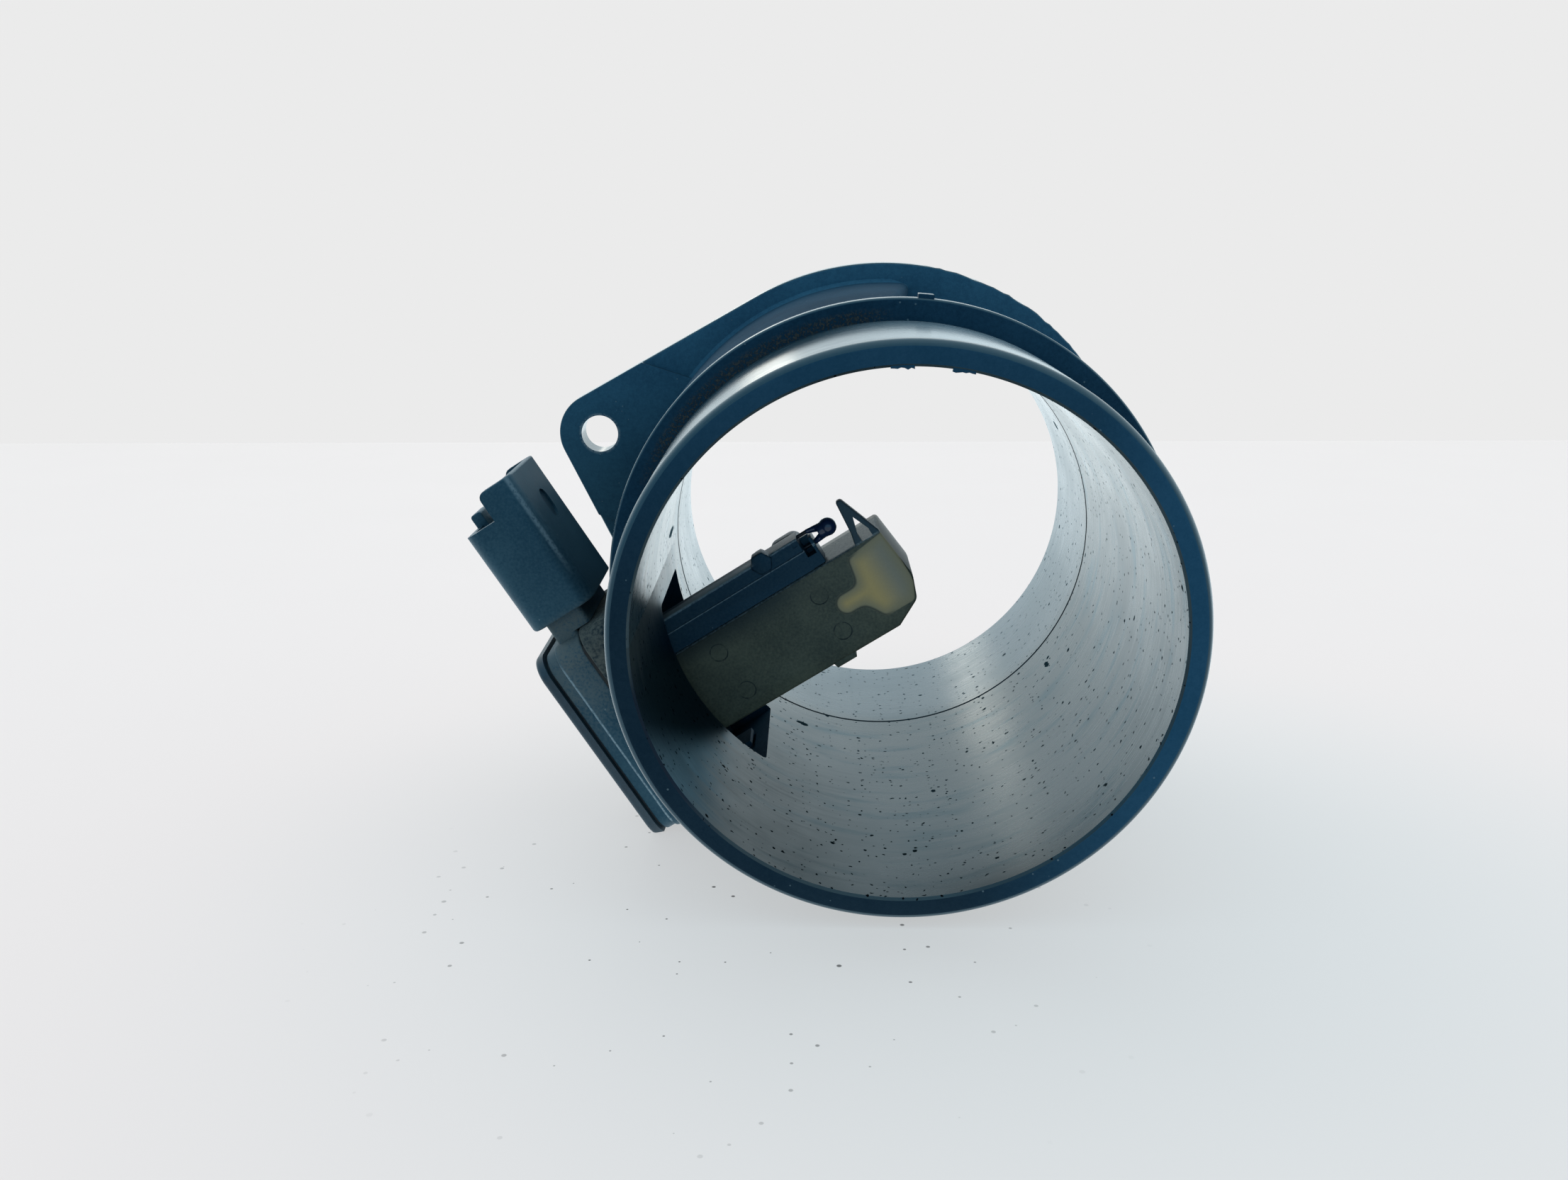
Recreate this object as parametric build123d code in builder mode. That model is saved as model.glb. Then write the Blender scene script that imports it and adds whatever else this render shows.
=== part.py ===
from build123d import *
import math
import os

# A mass airflow sensor: a moulded duct with a plug-in sensor module in its wall.
# The bore runs along Y. The origin is on the bore's axis, in the plane of the flange's back face,
# which bolts to the air filter box. The hose end is at negative Y, and Z is up as the part lies.

# Duct
bore_mouth_r = 36.6
bore_narrowing = 0.25
hose_wall = 3.4
barrel_wall = 2.3
hose_end_lip = 1.2
hose_seat_length = 27.7
stop_bead_height = 3.2
stop_bead_width = 2.6
stop_bead_edge = 0.4
flange_from_hose_end = 73.8
flange_thickness = 4.0
flange_rim = 3.3
waist_before_flange = 8.8
bead_nub_azimuth = 85.0
bead_nub_width = 2.3
bead_nub_height = 0.6
root_overlap = 0.5
cut_past = 1.0

# Spigot that enters the filter box, and its seal
spigot_length = 16.7
spigot_chamfer = 0.8
seal_groove_start = 2.2
seal_width = 3.0
seal_height = 2.4
seal_chamfer = 0.6
seal_groove_depth = 1.3
seal_groove_side_gap = 0.15
seal_floor_gap = 0.02

# Ears of the flange
ear_azimuth = 162.15
ear_reach = 7.2
ear_tip_r = 7.3
ear_hole_r = 3.3
ear_pad_height = 0.8
ear_pad_turn = 19.0
ear_pad_setback = 5.4

# Thick shell of the duct on the module's side
shell_thickness = 4.0
shell_before_module = 128.25
shell_after_module = 24.0
shell_end_skew = 7.6
shell_end_round = 1.0

# Module seat: a boss on the duct with a rectangular window
module_turn = 50.0
module_from_hose_end = 45.8
window_length = 30.7
window_width = 22.8
window_corner_r = 0.8
boss_wall_end = 3.45
boss_wall_side = 1.8
boss_corner_r = 3.6
boss_rise = 4.0

# Electronics tray of the module, measured outwards from the bore's axis
gasket_thickness = 0.5
gasket_width = 1.3
tray_inset = 0.55
tray_corner_r = 3.8
tray_step_height = 4.8
tray_step = 0.45
tray_rim_height = 1.8
tray_wall = 1.7
tray_floor = 1.8
lid_gap = 0.45
lid_thickness = 1.6
lid_edge_round = 0.7
lid_lip_depth = 1.0
lid_lip_wall = 1.2
lid_lip_corner_r = 0.4
fit_clearance = 0.12
adhesive_width = 0.9

# Plug of the module that fills the window
plug_depth = 6.4
plug_wall = 1.5
hook_width = 6.0
hook_thickness = 1.2
hook_tip_thickness = 0.7
hook_reach = 11.6
hook_nose = 1.0
hook_ramp = 1.6
hook_catch = 1.0

# Connector shroud
shroud_drop = 5.8
shroud_height = 11.9
shroud_width = 20.0
shroud_side_offset = -0.8
shroud_length = 23.2
shroud_notch = 4.8
shroud_wall = 1.6
shroud_floor = 3.0
shroud_corner_r = 2.6
shroud_base_round = 1.2
shroud_mouth_round = 1.2
shroud_recess_length = 5.6
shroud_recess_width = 2.2
shroud_recess_depth = 0.6
shroud_recess_from_mouth = 7.7
neck_reach = 3.2
neck_height = 6.6
neck_width = 17.0
neck_drop = 2.7
latch_width = 6.0
latch_height = 2.2
latch_thickness = 2.0
latch_setback = 0.6
latch_fall = 1.0
latch_edge_r = 0.5

# Terminals
terminal_count = 6
terminal_pitch = 2.54
terminal_width = 0.64
terminal_thickness = 0.8
terminal_reach = 9.0
terminal_inside = 3.1
terminal_lift = 0.9
terminal_crank_past_tray = 1.0
terminal_crank_in_shroud = 0.5
terminal_point = 0.2

# Bypass blade that hangs in the air stream
blade_tip = -2.75
blade_tip_slant = 0.85
blade_top = 6.5
blade_bottom = -8.7
blade_front = -7.5
blade_depth = 13.4
blade_nose_height = 2.4
blade_nose_slant = 1.5
blade_heel_length = 4.6
blade_corner_r = 0.6
blade_front_chamfer = 0.4
cover_thickness = 2.6
blade_wall = 1.3
blade_socket_depth = 3.2

# Bypass channel inside the blade
chamber_length = 7.0
chamber_floor_rise = 1.0
chamber_top_bevel = 1.0
chamber_bottom_bevel = 1.6
chamber_corner_r = 0.6
throat_r = 1.75
throat_shoulder_r = 1.8
channel_axis = -1.05
channel_end = 28.0
return_width = 3.2
channel_divider = 1.4
inlet_length = 5.2
inlet_height = 9.4
inlet_corner_r = 1.0
inlet_flare = 8
outlet_start = 12.0
outlet_length = 3.6
outlet_wall = 0.5
outlet_lip = 0.8
outlet_lip_root = 0.3
core_start = 13.4
core_setback = 4.2
pin_mark_r = 1.45
pin_mark_depth = 0.12
pin_marks = ((11.7, 2.5), (11.6, -4.5), (30.2, -4.8), (30.6, 3.0))

# Open guard at the blade's tip: two bars that meet in a point
guard_apex_height = 7.6
guard_apex_setback = 3.85
guard_foot_span = 4.4
guard_bar = 1.2
guard_thickness = 1.5
guard_apex_r = 0.45
guard_apex_round = 0.35
guard_shoulder = 2.0
guard_shoulder_inset = 0.4
guard_root_height = 0.3
guard_hole_side = 1.4
guard_hole_to_apex = 3.4
guard_hole_shift = 0.6

# Lead rail on the blade, with the air temperature sensor at its end
rail_height = 5.9
rail_bar_height = 2.5
rail_depth = 5.4
rail_front = -7.7
rail_web_setback = 0.6
rail_end = 9.9
clip_end = 7.8
clip_height = 4.9
clip_overlap = 0.4
clip_corner_r = 0.35
clip_wall = 0.5
clip_pocket_rise = 2.1
clip_pocket_depth = 2.8
lug_place = 16.6
lug_r = 1.9
lug_height = 5.4
lug_depth = 2.7
lug_proud = 0.5
lug_peg_length = 1.2
lug_peg_depth = 1.8
lug_peg_height = 0.8
ridge_place = 12.6
ridge_length = 5.6
ridge_depth = 2.6
ridge_corner_r = 1.6
lead_r = 0.3
lead_spacing = 2.2
lead_height = 4.5
lead_lift = 0.4
bead_r = 1.5
bead_place = 4.9
bead_tail = 2.9
bead_tail_r = 0.42
bead_tail_root_r = 1.35
bead_tail_root_shift = 0.15

# Electronics
plate_thickness = 0.8
plate_length = 24.0
plate_width = 17.0
plate_margin = 0.5
board_thickness = 0.7
board_length = 21.0
board_width = 14.6
board_corner_r = 0.6
chip_size = 5.4
chip_height = 1.1
chip_place = -5.25
chip_edge = 0.25
capacitor_length = 2.0
capacitor_width = 1.25
capacitor_height = 0.9
capacitor_places = ((3.0, 4.6), (6.4, 4.6), (4.7, -4.8))
carrier_thickness = 0.8
carrier_width = 3.0
carrier_end = 15.0
carrier_lift = 0.5
carrier_tip_bevel = 0.5
film_setback = 1.2
film_length = 3.4
film_width = 2.2
film_thickness = 0.35

# Radii and places that follow from the sizes above
hose_outer_r = bore_mouth_r + hose_wall
bore_waist_r = bore_mouth_r - bore_narrowing
barrel_r = bore_mouth_r + barrel_wall
stop_bead_r = hose_outer_r + stop_bead_height
shell_r = barrel_r + shell_thickness
flange_r = shell_r + flange_rim
ear_circle_r = flange_r + ear_reach
boss_top = shell_r + boss_rise
flange_front_y = -flange_thickness
hose_end_y = flange_front_y - flange_from_hose_end
bead_y = hose_end_y + hose_seat_length
bead_back_y = bead_y + stop_bead_width
waist_y = flange_front_y - waist_before_flange
module_y = hose_end_y + module_from_hose_end
module_azimuth = ear_azimuth + module_turn
seat_length = window_length + 2 * boss_wall_end
seat_width = window_width + 2 * boss_wall_side
tray_length = seat_length - 2 * tray_inset
tray_width = seat_width - 2 * tray_inset
tray_bottom = boss_top + gasket_thickness
tray_top = tray_bottom + tray_step_height + tray_rim_height
tray_floor_top = tray_bottom + tray_floor
cavity_length = tray_length - 2 * tray_wall - 2 * tray_step
cavity_width = tray_width - 2 * tray_wall - 2 * tray_step
cavity_corner_r = tray_corner_r - tray_wall - tray_step
plug_bottom = tray_bottom - plug_depth
hook_end = tray_bottom - hook_reach
lid_bottom = tray_top + lid_gap
shroud_inner_face = tray_bottom - shroud_drop
shroud_middle = shroud_inner_face + shroud_height / 2
socket_top = shroud_inner_face + shroud_height
shroud_base = seat_length / 2 + neck_reach
shroud_mouth = shroud_base + shroud_length
blade_root = plug_bottom + blade_socket_depth
core_end = blade_root - core_setback
blade_back = blade_front + blade_depth
channel_back = blade_back - cover_thickness
channel_front = blade_front + blade_wall
channel_middle = (channel_front + channel_back) / 2
blade_middle = (blade_top + blade_bottom) / 2
blade_height = blade_top - blade_bottom
rail_foot = blade_top + fit_clearance
rail_top = rail_foot + rail_height
lead_centre = blade_top + lead_height
lead_side = rail_front + rail_depth / 2
plate_shift = (plate_length - cavity_length) / 2 + plate_margin
plate_top = tray_floor_top + plate_thickness
board_top = plate_top + board_thickness
lead_top = plate_top + lead_lift
carrier_slot = (carrier_width + 2 * fit_clearance, carrier_thickness + 2 * fit_clearance)


def radial(azimuth):
    """Unit vector across the bore, at an angle from X towards Z."""
    return Vector(math.cos(math.radians(azimuth)), 0, math.sin(math.radians(azimuth)))


def across(y):
    """Plane across the bore whose normal points to the hose end."""
    return Plane(origin=(0, y, 0), x_dir=(1, 0, 0), z_dir=(0, -1, 0))


# Module frame: X runs towards the connector, Y along the bore and Z outwards
module = Plane(
    origin=(0, module_y, 0),
    x_dir=radial(module_azimuth - 90),
    z_dir=radial(module_azimuth),
)


def module_side(y):
    """Plane along the blade, whose local X is outwards and local Y points to the connector."""
    return Plane(
        origin=module.from_local_coords(Vector(0, y, 0)),
        x_dir=module.z_dir,
        z_dir=module.y_dir,
    )


def module_end(x):
    """Plane in the module that faces the connector's mouth: local X is along the bore."""
    return Plane(
        origin=module.from_local_coords(Vector(x, 0, 0)),
        x_dir=module.y_dir,
        z_dir=module.x_dir,
    )


def finish(part, name):
    """Label a finished piece and write it."""
    part.label = name
    export_step(part, f"parts/{name}.step")


os.makedirs("parts", exist_ok=True)

# Thick shell: a sector of a ring between the stop bead and the flange, with a slanted end
shell_start = module_azimuth - shell_before_module
shell_sweep = shell_before_module + shell_after_module
root_r = barrel_r - root_overlap

with BuildPart() as thick_shell:
    with BuildSketch(across(flange_front_y)):
        with BuildLine():
            outer = CenterArc((0, 0), shell_r, shell_start, shell_sweep)
            inner = CenterArc((0, 0), root_r, shell_start, shell_sweep)
            Line(outer @ 0, inner @ 0)
            Line(outer @ 1, inner @ 1)
        make_face()
    extrude(amount=flange_front_y - bead_back_y)
    near_x = shell_r * math.cos(math.radians(shell_start))
    far_x = shell_r * math.cos(math.radians(shell_start + shell_end_skew))
    with BuildSketch(Plane.XY):
        with BuildLine():
            Polyline(
                (near_x, flange_front_y),
                (far_x, bead_back_y),
                (near_x + shell_r, bead_back_y),
                (near_x + shell_r, flange_front_y),
                close=True,
            )
        make_face()
    extrude(amount=2 * shell_r, mode=Mode.SUBTRACT)
    slanted_end = thick_shell.faces().sort_by(Axis.X)[-1]
    fillet(slanted_end.edges().sort_by(Axis.Z)[-1], shell_end_round)

# Duct: one moulding with its hose seat, stop bead, flange with two ears, spigot and module boss
groove_end = seal_groove_start + seal_width + 2 * seal_groove_side_gap

with BuildPart() as tube_housing:
    with BuildSketch(Plane.XY):
        with BuildLine():
            Polyline(
                (bore_mouth_r, hose_end_y),
                (hose_outer_r, hose_end_y),
                (hose_outer_r, bead_y),
                (stop_bead_r, bead_y),
                (stop_bead_r, bead_back_y),
                (barrel_r, bead_back_y),
                (barrel_r, seal_groove_start),
                (barrel_r - seal_groove_depth, seal_groove_start),
                (barrel_r - seal_groove_depth, groove_end),
                (barrel_r, groove_end),
                (barrel_r, spigot_length - spigot_chamfer),
                (barrel_r - spigot_chamfer, spigot_length),
                (bore_mouth_r, spigot_length),
                (bore_waist_r, waist_y),
                close=True,
            )
        profile = make_face()
        mouth_corner = profile.vertices().sort_by(Axis.Y).group_by(Axis.Y)[0].sort_by(Axis.X)[-1]
        fillet(mouth_corner, hose_end_lip)
    revolve(axis=Axis.Y)
    bead_rims = tube_housing.edges().filter_by(GeomType.CIRCLE).filter_by(
        lambda e: e.radius > hose_outer_r
    )
    chamfer(bead_rims, stop_bead_edge)

    # moulding nub on the bead's crown
    nub_plane = Plane(
        origin=radial(bead_nub_azimuth) * stop_bead_r + Vector(0, bead_y + stop_bead_width / 2, 0),
        x_dir=(0, 1, 0),
        z_dir=radial(bead_nub_azimuth),
    )
    with BuildSketch(nub_plane.offset(-stop_bead_edge)):
        Rectangle(stop_bead_width - 2 * stop_bead_edge, bead_nub_width)
    extrude(amount=bead_nub_height + stop_bead_edge)

    with BuildSketch(across(0)):
        Circle(flange_r)
        with PolarLocations(ear_circle_r, 2, start_angle=ear_azimuth):
            Circle(ear_tip_r)
        make_hull()
        Circle(root_r, mode=Mode.SUBTRACT)
    extrude(amount=flange_thickness)

    # each ear has a raised pad on the hose side, which ends on a straight step
    with BuildSketch(across(flange_front_y)):
        for side in (0, 180):
            azimuth = ear_azimuth + side
            with BuildLine():
                tip = PolarLine((0, 0), ear_circle_r, azimuth, mode=Mode.PRIVATE) @ 1
                shoulder = PolarLine((0, 0), flange_r + ear_pad_setback, azimuth - ear_pad_turn,
                                     mode=Mode.PRIVATE) @ 1
                far_shoulder = PolarLine((0, 0), flange_r + ear_pad_setback,
                                         azimuth + ear_pad_turn, mode=Mode.PRIVATE) @ 1
                reach = PolarLine(tip, 2 * ear_tip_r, azimuth, mode=Mode.PRIVATE) @ 1
                Polyline((0, 0), shoulder, reach, far_shoulder, close=True)
            make_face()
        Circle(root_r, mode=Mode.SUBTRACT)
        with BuildSketch(mode=Mode.INTERSECT):
            Circle(flange_r)
            with PolarLocations(ear_circle_r, 2, start_angle=ear_azimuth):
                Circle(ear_tip_r)
            make_hull()
    extrude(amount=ear_pad_height)

    with BuildSketch(across(0)):
        with PolarLocations(ear_circle_r, 2, start_angle=ear_azimuth):
            Circle(ear_hole_r)
    extrude(amount=2 * flange_thickness, mode=Mode.SUBTRACT)

    add(thick_shell.part)

    with BuildSketch(module):
        RectangleRounded(seat_length, seat_width, boss_corner_r)
    extrude(amount=boss_top)
    with BuildSketch(module):
        RectangleRounded(window_length, window_width, window_corner_r)
    extrude(amount=boss_top + cut_past, mode=Mode.SUBTRACT)

    # pockets in the window's end walls, where the module's snap hooks catch
    with BuildSketch(module_side(-hook_width / 2 - fit_clearance)):
        with Locations((hook_end + (hook_ramp + hook_catch) / 2, 0)):
            Rectangle(hook_ramp + hook_catch + 2 * fit_clearance, window_length + 2 * hook_nose)
    extrude(amount=hook_width + 2 * fit_clearance, mode=Mode.SUBTRACT)

    # the boss starts on the bore's axis, so the bore is cleared again
    with BuildSketch(Plane.XY):
        with BuildLine():
            Polyline(
                (0, hose_end_y),
                (bore_mouth_r, hose_end_y),
                (bore_waist_r, waist_y),
                (bore_mouth_r, spigot_length),
                (0, spigot_length),
                close=True,
            )
        make_face()
    revolve(axis=Axis.Y, mode=Mode.SUBTRACT)
finish(tube_housing.part, "tube_housing")

# Rubber ring in the spigot's groove: a square profile whose crown is chamfered for pushing in
with BuildPart() as spigot_seal:
    seal_inner_r = barrel_r - seal_groove_depth + seal_floor_gap
    with BuildSketch(Plane.XY) as seal_profile:
        with Locations((seal_inner_r + seal_height / 2, (seal_groove_start + groove_end) / 2)):
            Rectangle(seal_height, seal_width)
        chamfer(seal_profile.vertices().group_by(Axis.X)[-1], seal_chamfer)
    revolve(axis=Axis.Y)
finish(spigot_seal.part, "spigot_seal")

# Flat gasket between the boss and the tray
with BuildPart() as module_gasket:
    with BuildSketch(module.offset(boss_top)):
        RectangleRounded(
            window_length + 2 * gasket_width, window_width + 2 * gasket_width, gasket_width
        )
        RectangleRounded(window_length, window_width, window_corner_r, mode=Mode.SUBTRACT)
    extrude(amount=gasket_thickness)
finish(module_gasket.part, "module_gasket")

# Terminals: cranked blades that run from the tray through the neck into the socket
terminal_tray_z = plate_top + terminal_lift
terminal_tail = cavity_length / 2 - terminal_inside
terminal_point_y = shroud_base + shroud_floor + terminal_reach
crank_start = tray_length / 2 + terminal_crank_past_tray
crank_end = shroud_base + terminal_crank_in_shroud
terminals = []
for index in range(terminal_count):
    place = (index - (terminal_count - 1) / 2) * terminal_pitch + shroud_side_offset
    with BuildPart() as terminal:
        with BuildSketch(module_side(place - terminal_width / 2)):
            half = terminal_thickness / 2
            with BuildLine():
                Polyline(
                    (terminal_tray_z + half, terminal_tail),
                    (terminal_tray_z + half, crank_start + half),
                    (shroud_middle + half, crank_end + half),
                    (shroud_middle + half, terminal_point_y),
                    (shroud_middle - half, terminal_point_y),
                    (shroud_middle - half, crank_end - half),
                    (terminal_tray_z - half, crank_start - half),
                    (terminal_tray_z - half, terminal_tail),
                    close=True,
                )
            make_face()
        extrude(amount=terminal_width)
        point = terminal.faces().filter_by(lambda f: f.normal_at().dot(module.x_dir) > 0.999)
        chamfer(point.edges(), terminal_point)
    terminals.append(terminal.part)
    finish(terminal.part, f"terminal_{index + 1}")

# Leads of the air temperature sensor: straight wires from the tray to the bead
lead_start = bead_place + bead_tail
leads = []
for name, side in (("upper", 1), ("lower", -1)):
    with BuildPart() as lead:
        with BuildSketch(module.offset(lead_start)):
            with Locations((lead_centre + side * lead_spacing / 2, lead_side)):
                Circle(lead_r)
        extrude(amount=lead_top - lead_start)
    leads.append(lead.part)
    finish(lead.part, f"temperature_lead_{name}")

# Sensor body: tray, plug, neck, connector shroud and lead rail, moulded in one
step_top = tray_bottom + tray_step_height
plug_length = window_length - 2 * fit_clearance
plug_width = window_width - 2 * fit_clearance

with BuildPart() as sensor_body:
    with BuildSketch(module.offset(tray_bottom)):
        RectangleRounded(tray_length, tray_width, tray_corner_r)
    extrude(amount=tray_step_height)
    with BuildSketch(module.offset(step_top)):
        RectangleRounded(
            tray_length - 2 * tray_step, tray_width - 2 * tray_step, tray_corner_r - tray_step
        )
    extrude(amount=tray_rim_height)

    # neck towards the connector
    neck_top = tray_top - neck_drop
    for start, neck_bottom in (
        (tray_length / 2 - tray_corner_r, tray_bottom),
        (seat_length / 2 + fit_clearance, neck_top - neck_height),
    ):
        with BuildSketch(module_end(start)):
            with Locations((shroud_side_offset, (neck_top + neck_bottom) / 2)):
                Rectangle(neck_width, neck_top - neck_bottom)
        extrude(amount=shroud_base + root_overlap - start)

    # shroud, with a rounded outer shoulder and its outer half cut back at the mouth
    base_corner = Vector(shroud_base, shroud_side_offset, socket_top)
    with BuildSketch(module_end(shroud_base)):
        with Locations((shroud_side_offset, shroud_middle)):
            RectangleRounded(shroud_width, shroud_height, shroud_corner_r)
    extrude(amount=shroud_length)
    outer_edge = sensor_body.edges().sort_by_distance(module.from_local_coords(base_corner))[0]
    fillet(outer_edge, shroud_base_round)
    with BuildSketch(module_side(-shroud_width)):
        with Locations((socket_top, shroud_mouth)):
            Rectangle(shroud_height, 2 * shroud_notch)
    extrude(amount=2 * shroud_width, mode=Mode.SUBTRACT)
    cut_corner = Vector(shroud_mouth, shroud_side_offset, shroud_middle)
    mouth_edge = sensor_body.edges().sort_by_distance(module.from_local_coords(cut_corner))[0]
    fillet(mouth_edge, shroud_mouth_round)
    with BuildSketch(module_end(shroud_base + shroud_floor)):
        with Locations((shroud_side_offset, shroud_middle)):
            RectangleRounded(
                shroud_width - 2 * shroud_wall,
                shroud_height - 2 * shroud_wall,
                shroud_corner_r - shroud_wall,
            )
    extrude(amount=shroud_mouth, mode=Mode.SUBTRACT)

    # shallow recess in the wall that faces the duct
    with BuildSketch(module.offset(shroud_inner_face)):
        with Locations((shroud_mouth - shroud_recess_from_mouth, shroud_side_offset)):
            SlotOverall(shroud_recess_length, shroud_recess_width)
    extrude(amount=shroud_recess_depth, mode=Mode.SUBTRACT)

    # latch nose on the cut-back wall
    latch_outer = socket_top - latch_setback
    latch_root = shroud_mouth - shroud_notch - latch_fall
    with BuildSketch(module_side(shroud_side_offset - latch_width / 2)) as latch:
        with Locations((latch_outer - latch_thickness / 2, latch_root + (latch_height + latch_fall) / 2)):
            Rectangle(latch_thickness, latch_height + latch_fall)
        fillet(latch.vertices().group_by(Axis.Y)[-1], latch_edge_r)
    extrude(amount=latch_width)

    # tray cavity
    with BuildSketch(module.offset(tray_floor_top)):
        RectangleRounded(cavity_length, cavity_width, cavity_corner_r)
    extrude(amount=tray_top - tray_floor_top + cut_past, mode=Mode.SUBTRACT)

    # plug: a skirt that follows the window, with a socket block for the blade
    with BuildSketch(module.offset(plug_bottom)):
        RectangleRounded(plug_length, plug_width, window_corner_r - fit_clearance)
        Rectangle(plug_length - 2 * plug_wall, plug_width - 2 * plug_wall, mode=Mode.SUBTRACT)
    extrude(amount=plug_depth)
    with BuildSketch(module_side(blade_front - blade_wall)):
        with Locations((tray_bottom - plug_depth / 2, blade_middle)):
            Rectangle(plug_depth, blade_height + 2 * blade_wall)
    extrude(amount=blade_depth + 2 * blade_wall)
    with BuildSketch(module_side(blade_front - fit_clearance)):
        with Locations((blade_root / 2, blade_middle)):
            Rectangle(blade_root, blade_height + 2 * fit_clearance)
    extrude(amount=blade_depth + 2 * fit_clearance, mode=Mode.SUBTRACT)

    # snap hooks on the ends of the plug
    for side in (-1, 1):
        back = side * plug_length / 2
        root = back - side * hook_thickness
        with BuildSketch(module_side(-hook_width / 2)):
            with BuildLine():
                Polyline(
                    (tray_bottom, root),
                    (hook_end, root),
                    (hook_end, root + side * hook_tip_thickness),
                    (hook_end + hook_ramp, back + side * hook_nose),
                    (hook_end + hook_ramp + hook_catch, back),
                    (tray_bottom, back),
                    close=True,
                )
            make_face()
        extrude(amount=hook_width)

    # lead rail on the blade's top: a bar on a set-back web, with its lug, ridge and an open clip
    bar_foot = rail_top - rail_bar_height
    with BuildSketch(module_side(rail_front)):
        with BuildLine():
            Polyline(
                (rail_end, bar_foot),
                (rail_end, rail_top),
                (tray_bottom, rail_top),
                (tray_bottom, bar_foot),
                close=True,
            )
        make_face()
    extrude(amount=rail_depth)
    with BuildSketch(module_side(rail_front + rail_web_setback)):
        with BuildLine():
            Polyline(
                (rail_end, rail_foot),
                (rail_end, bar_foot),
                (tray_bottom, bar_foot),
                (tray_bottom, rail_foot + blade_wall),
                (plug_bottom, rail_foot + blade_wall),
                (plug_bottom - blade_wall, rail_foot),
                close=True,
            )
        make_face()
    extrude(amount=rail_depth - 2 * rail_web_setback)
    with BuildSketch(module_side(rail_front + rail_web_setback)):
        with Locations(((rail_end + clip_overlap + clip_end) / 2, rail_foot + clip_height / 2)):
            RectangleRounded(rail_end + clip_overlap - clip_end, clip_height, clip_corner_r)
    extrude(amount=rail_depth - 2 * rail_web_setback)
    with BuildSketch(module_side(rail_front + rail_web_setback)):
        with Locations(((clip_end + clip_wall + rail_end) / 2, rail_foot + clip_height)):
            Rectangle(rail_end - clip_end - clip_wall, 2 * (clip_height - clip_pocket_rise))
    extrude(amount=clip_pocket_depth, mode=Mode.SUBTRACT)
    with BuildSketch(module_side(rail_front - lug_proud)):
        with Locations((lug_place, rail_foot + lug_height)):
            RegularPolygon(lug_r, 6, rotation=30)
    extrude(amount=lug_depth)
    with BuildSketch(module_side(rail_front - lug_proud + lug_depth)):
        with Locations((lug_place, rail_top)):
            Rectangle(lug_peg_length, 2 * lug_peg_height)
    extrude(amount=lug_peg_depth)
    with BuildSketch(module_side(rail_front + rail_depth)):
        with Locations((ridge_place, rail_foot + rail_height / 2)):
            RectangleRounded(ridge_length, rail_height, ridge_corner_r)
    extrude(amount=ridge_depth)

    # slot in the floor for the sensing element's carrier, and the moulded-in wires and terminals
    with BuildSketch(module.offset(blade_root - cut_past)):
        with Locations((channel_axis, channel_middle)):
            Rectangle(*carrier_slot)
    extrude(amount=tray_floor_top - blade_root + 2 * cut_past, mode=Mode.SUBTRACT)
    for insert in terminals + leads:
        add(insert, mode=Mode.SUBTRACT)
finish(sensor_body.part, "sensor_body")

# Outline of the blade, in the module's side plane: outwards, then towards the connector
nose_place = blade_tip + blade_nose_slant
blade_outline = [
    (blade_root, blade_top),
    (blade_tip + blade_tip_slant, blade_top),
    (blade_tip, -blade_nose_height),
    (nose_place, blade_bottom + blade_nose_height),
    (nose_place + blade_heel_length, blade_bottom),
    (blade_root, blade_bottom),
]

# Bypass housing: an open-backed shell with the channel in it, and the guard on its front wall
chamber_top = blade_top - blade_wall
chamber_bottom = blade_bottom + blade_wall + chamber_floor_rise
chamber_start = blade_tip + blade_wall
chamber_stop = chamber_start + chamber_length
return_top = channel_axis - throat_r - channel_divider
return_bottom = return_top - return_width
core_bottom = channel_axis + throat_r + blade_wall
outlet_end = outlet_start + outlet_length

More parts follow.
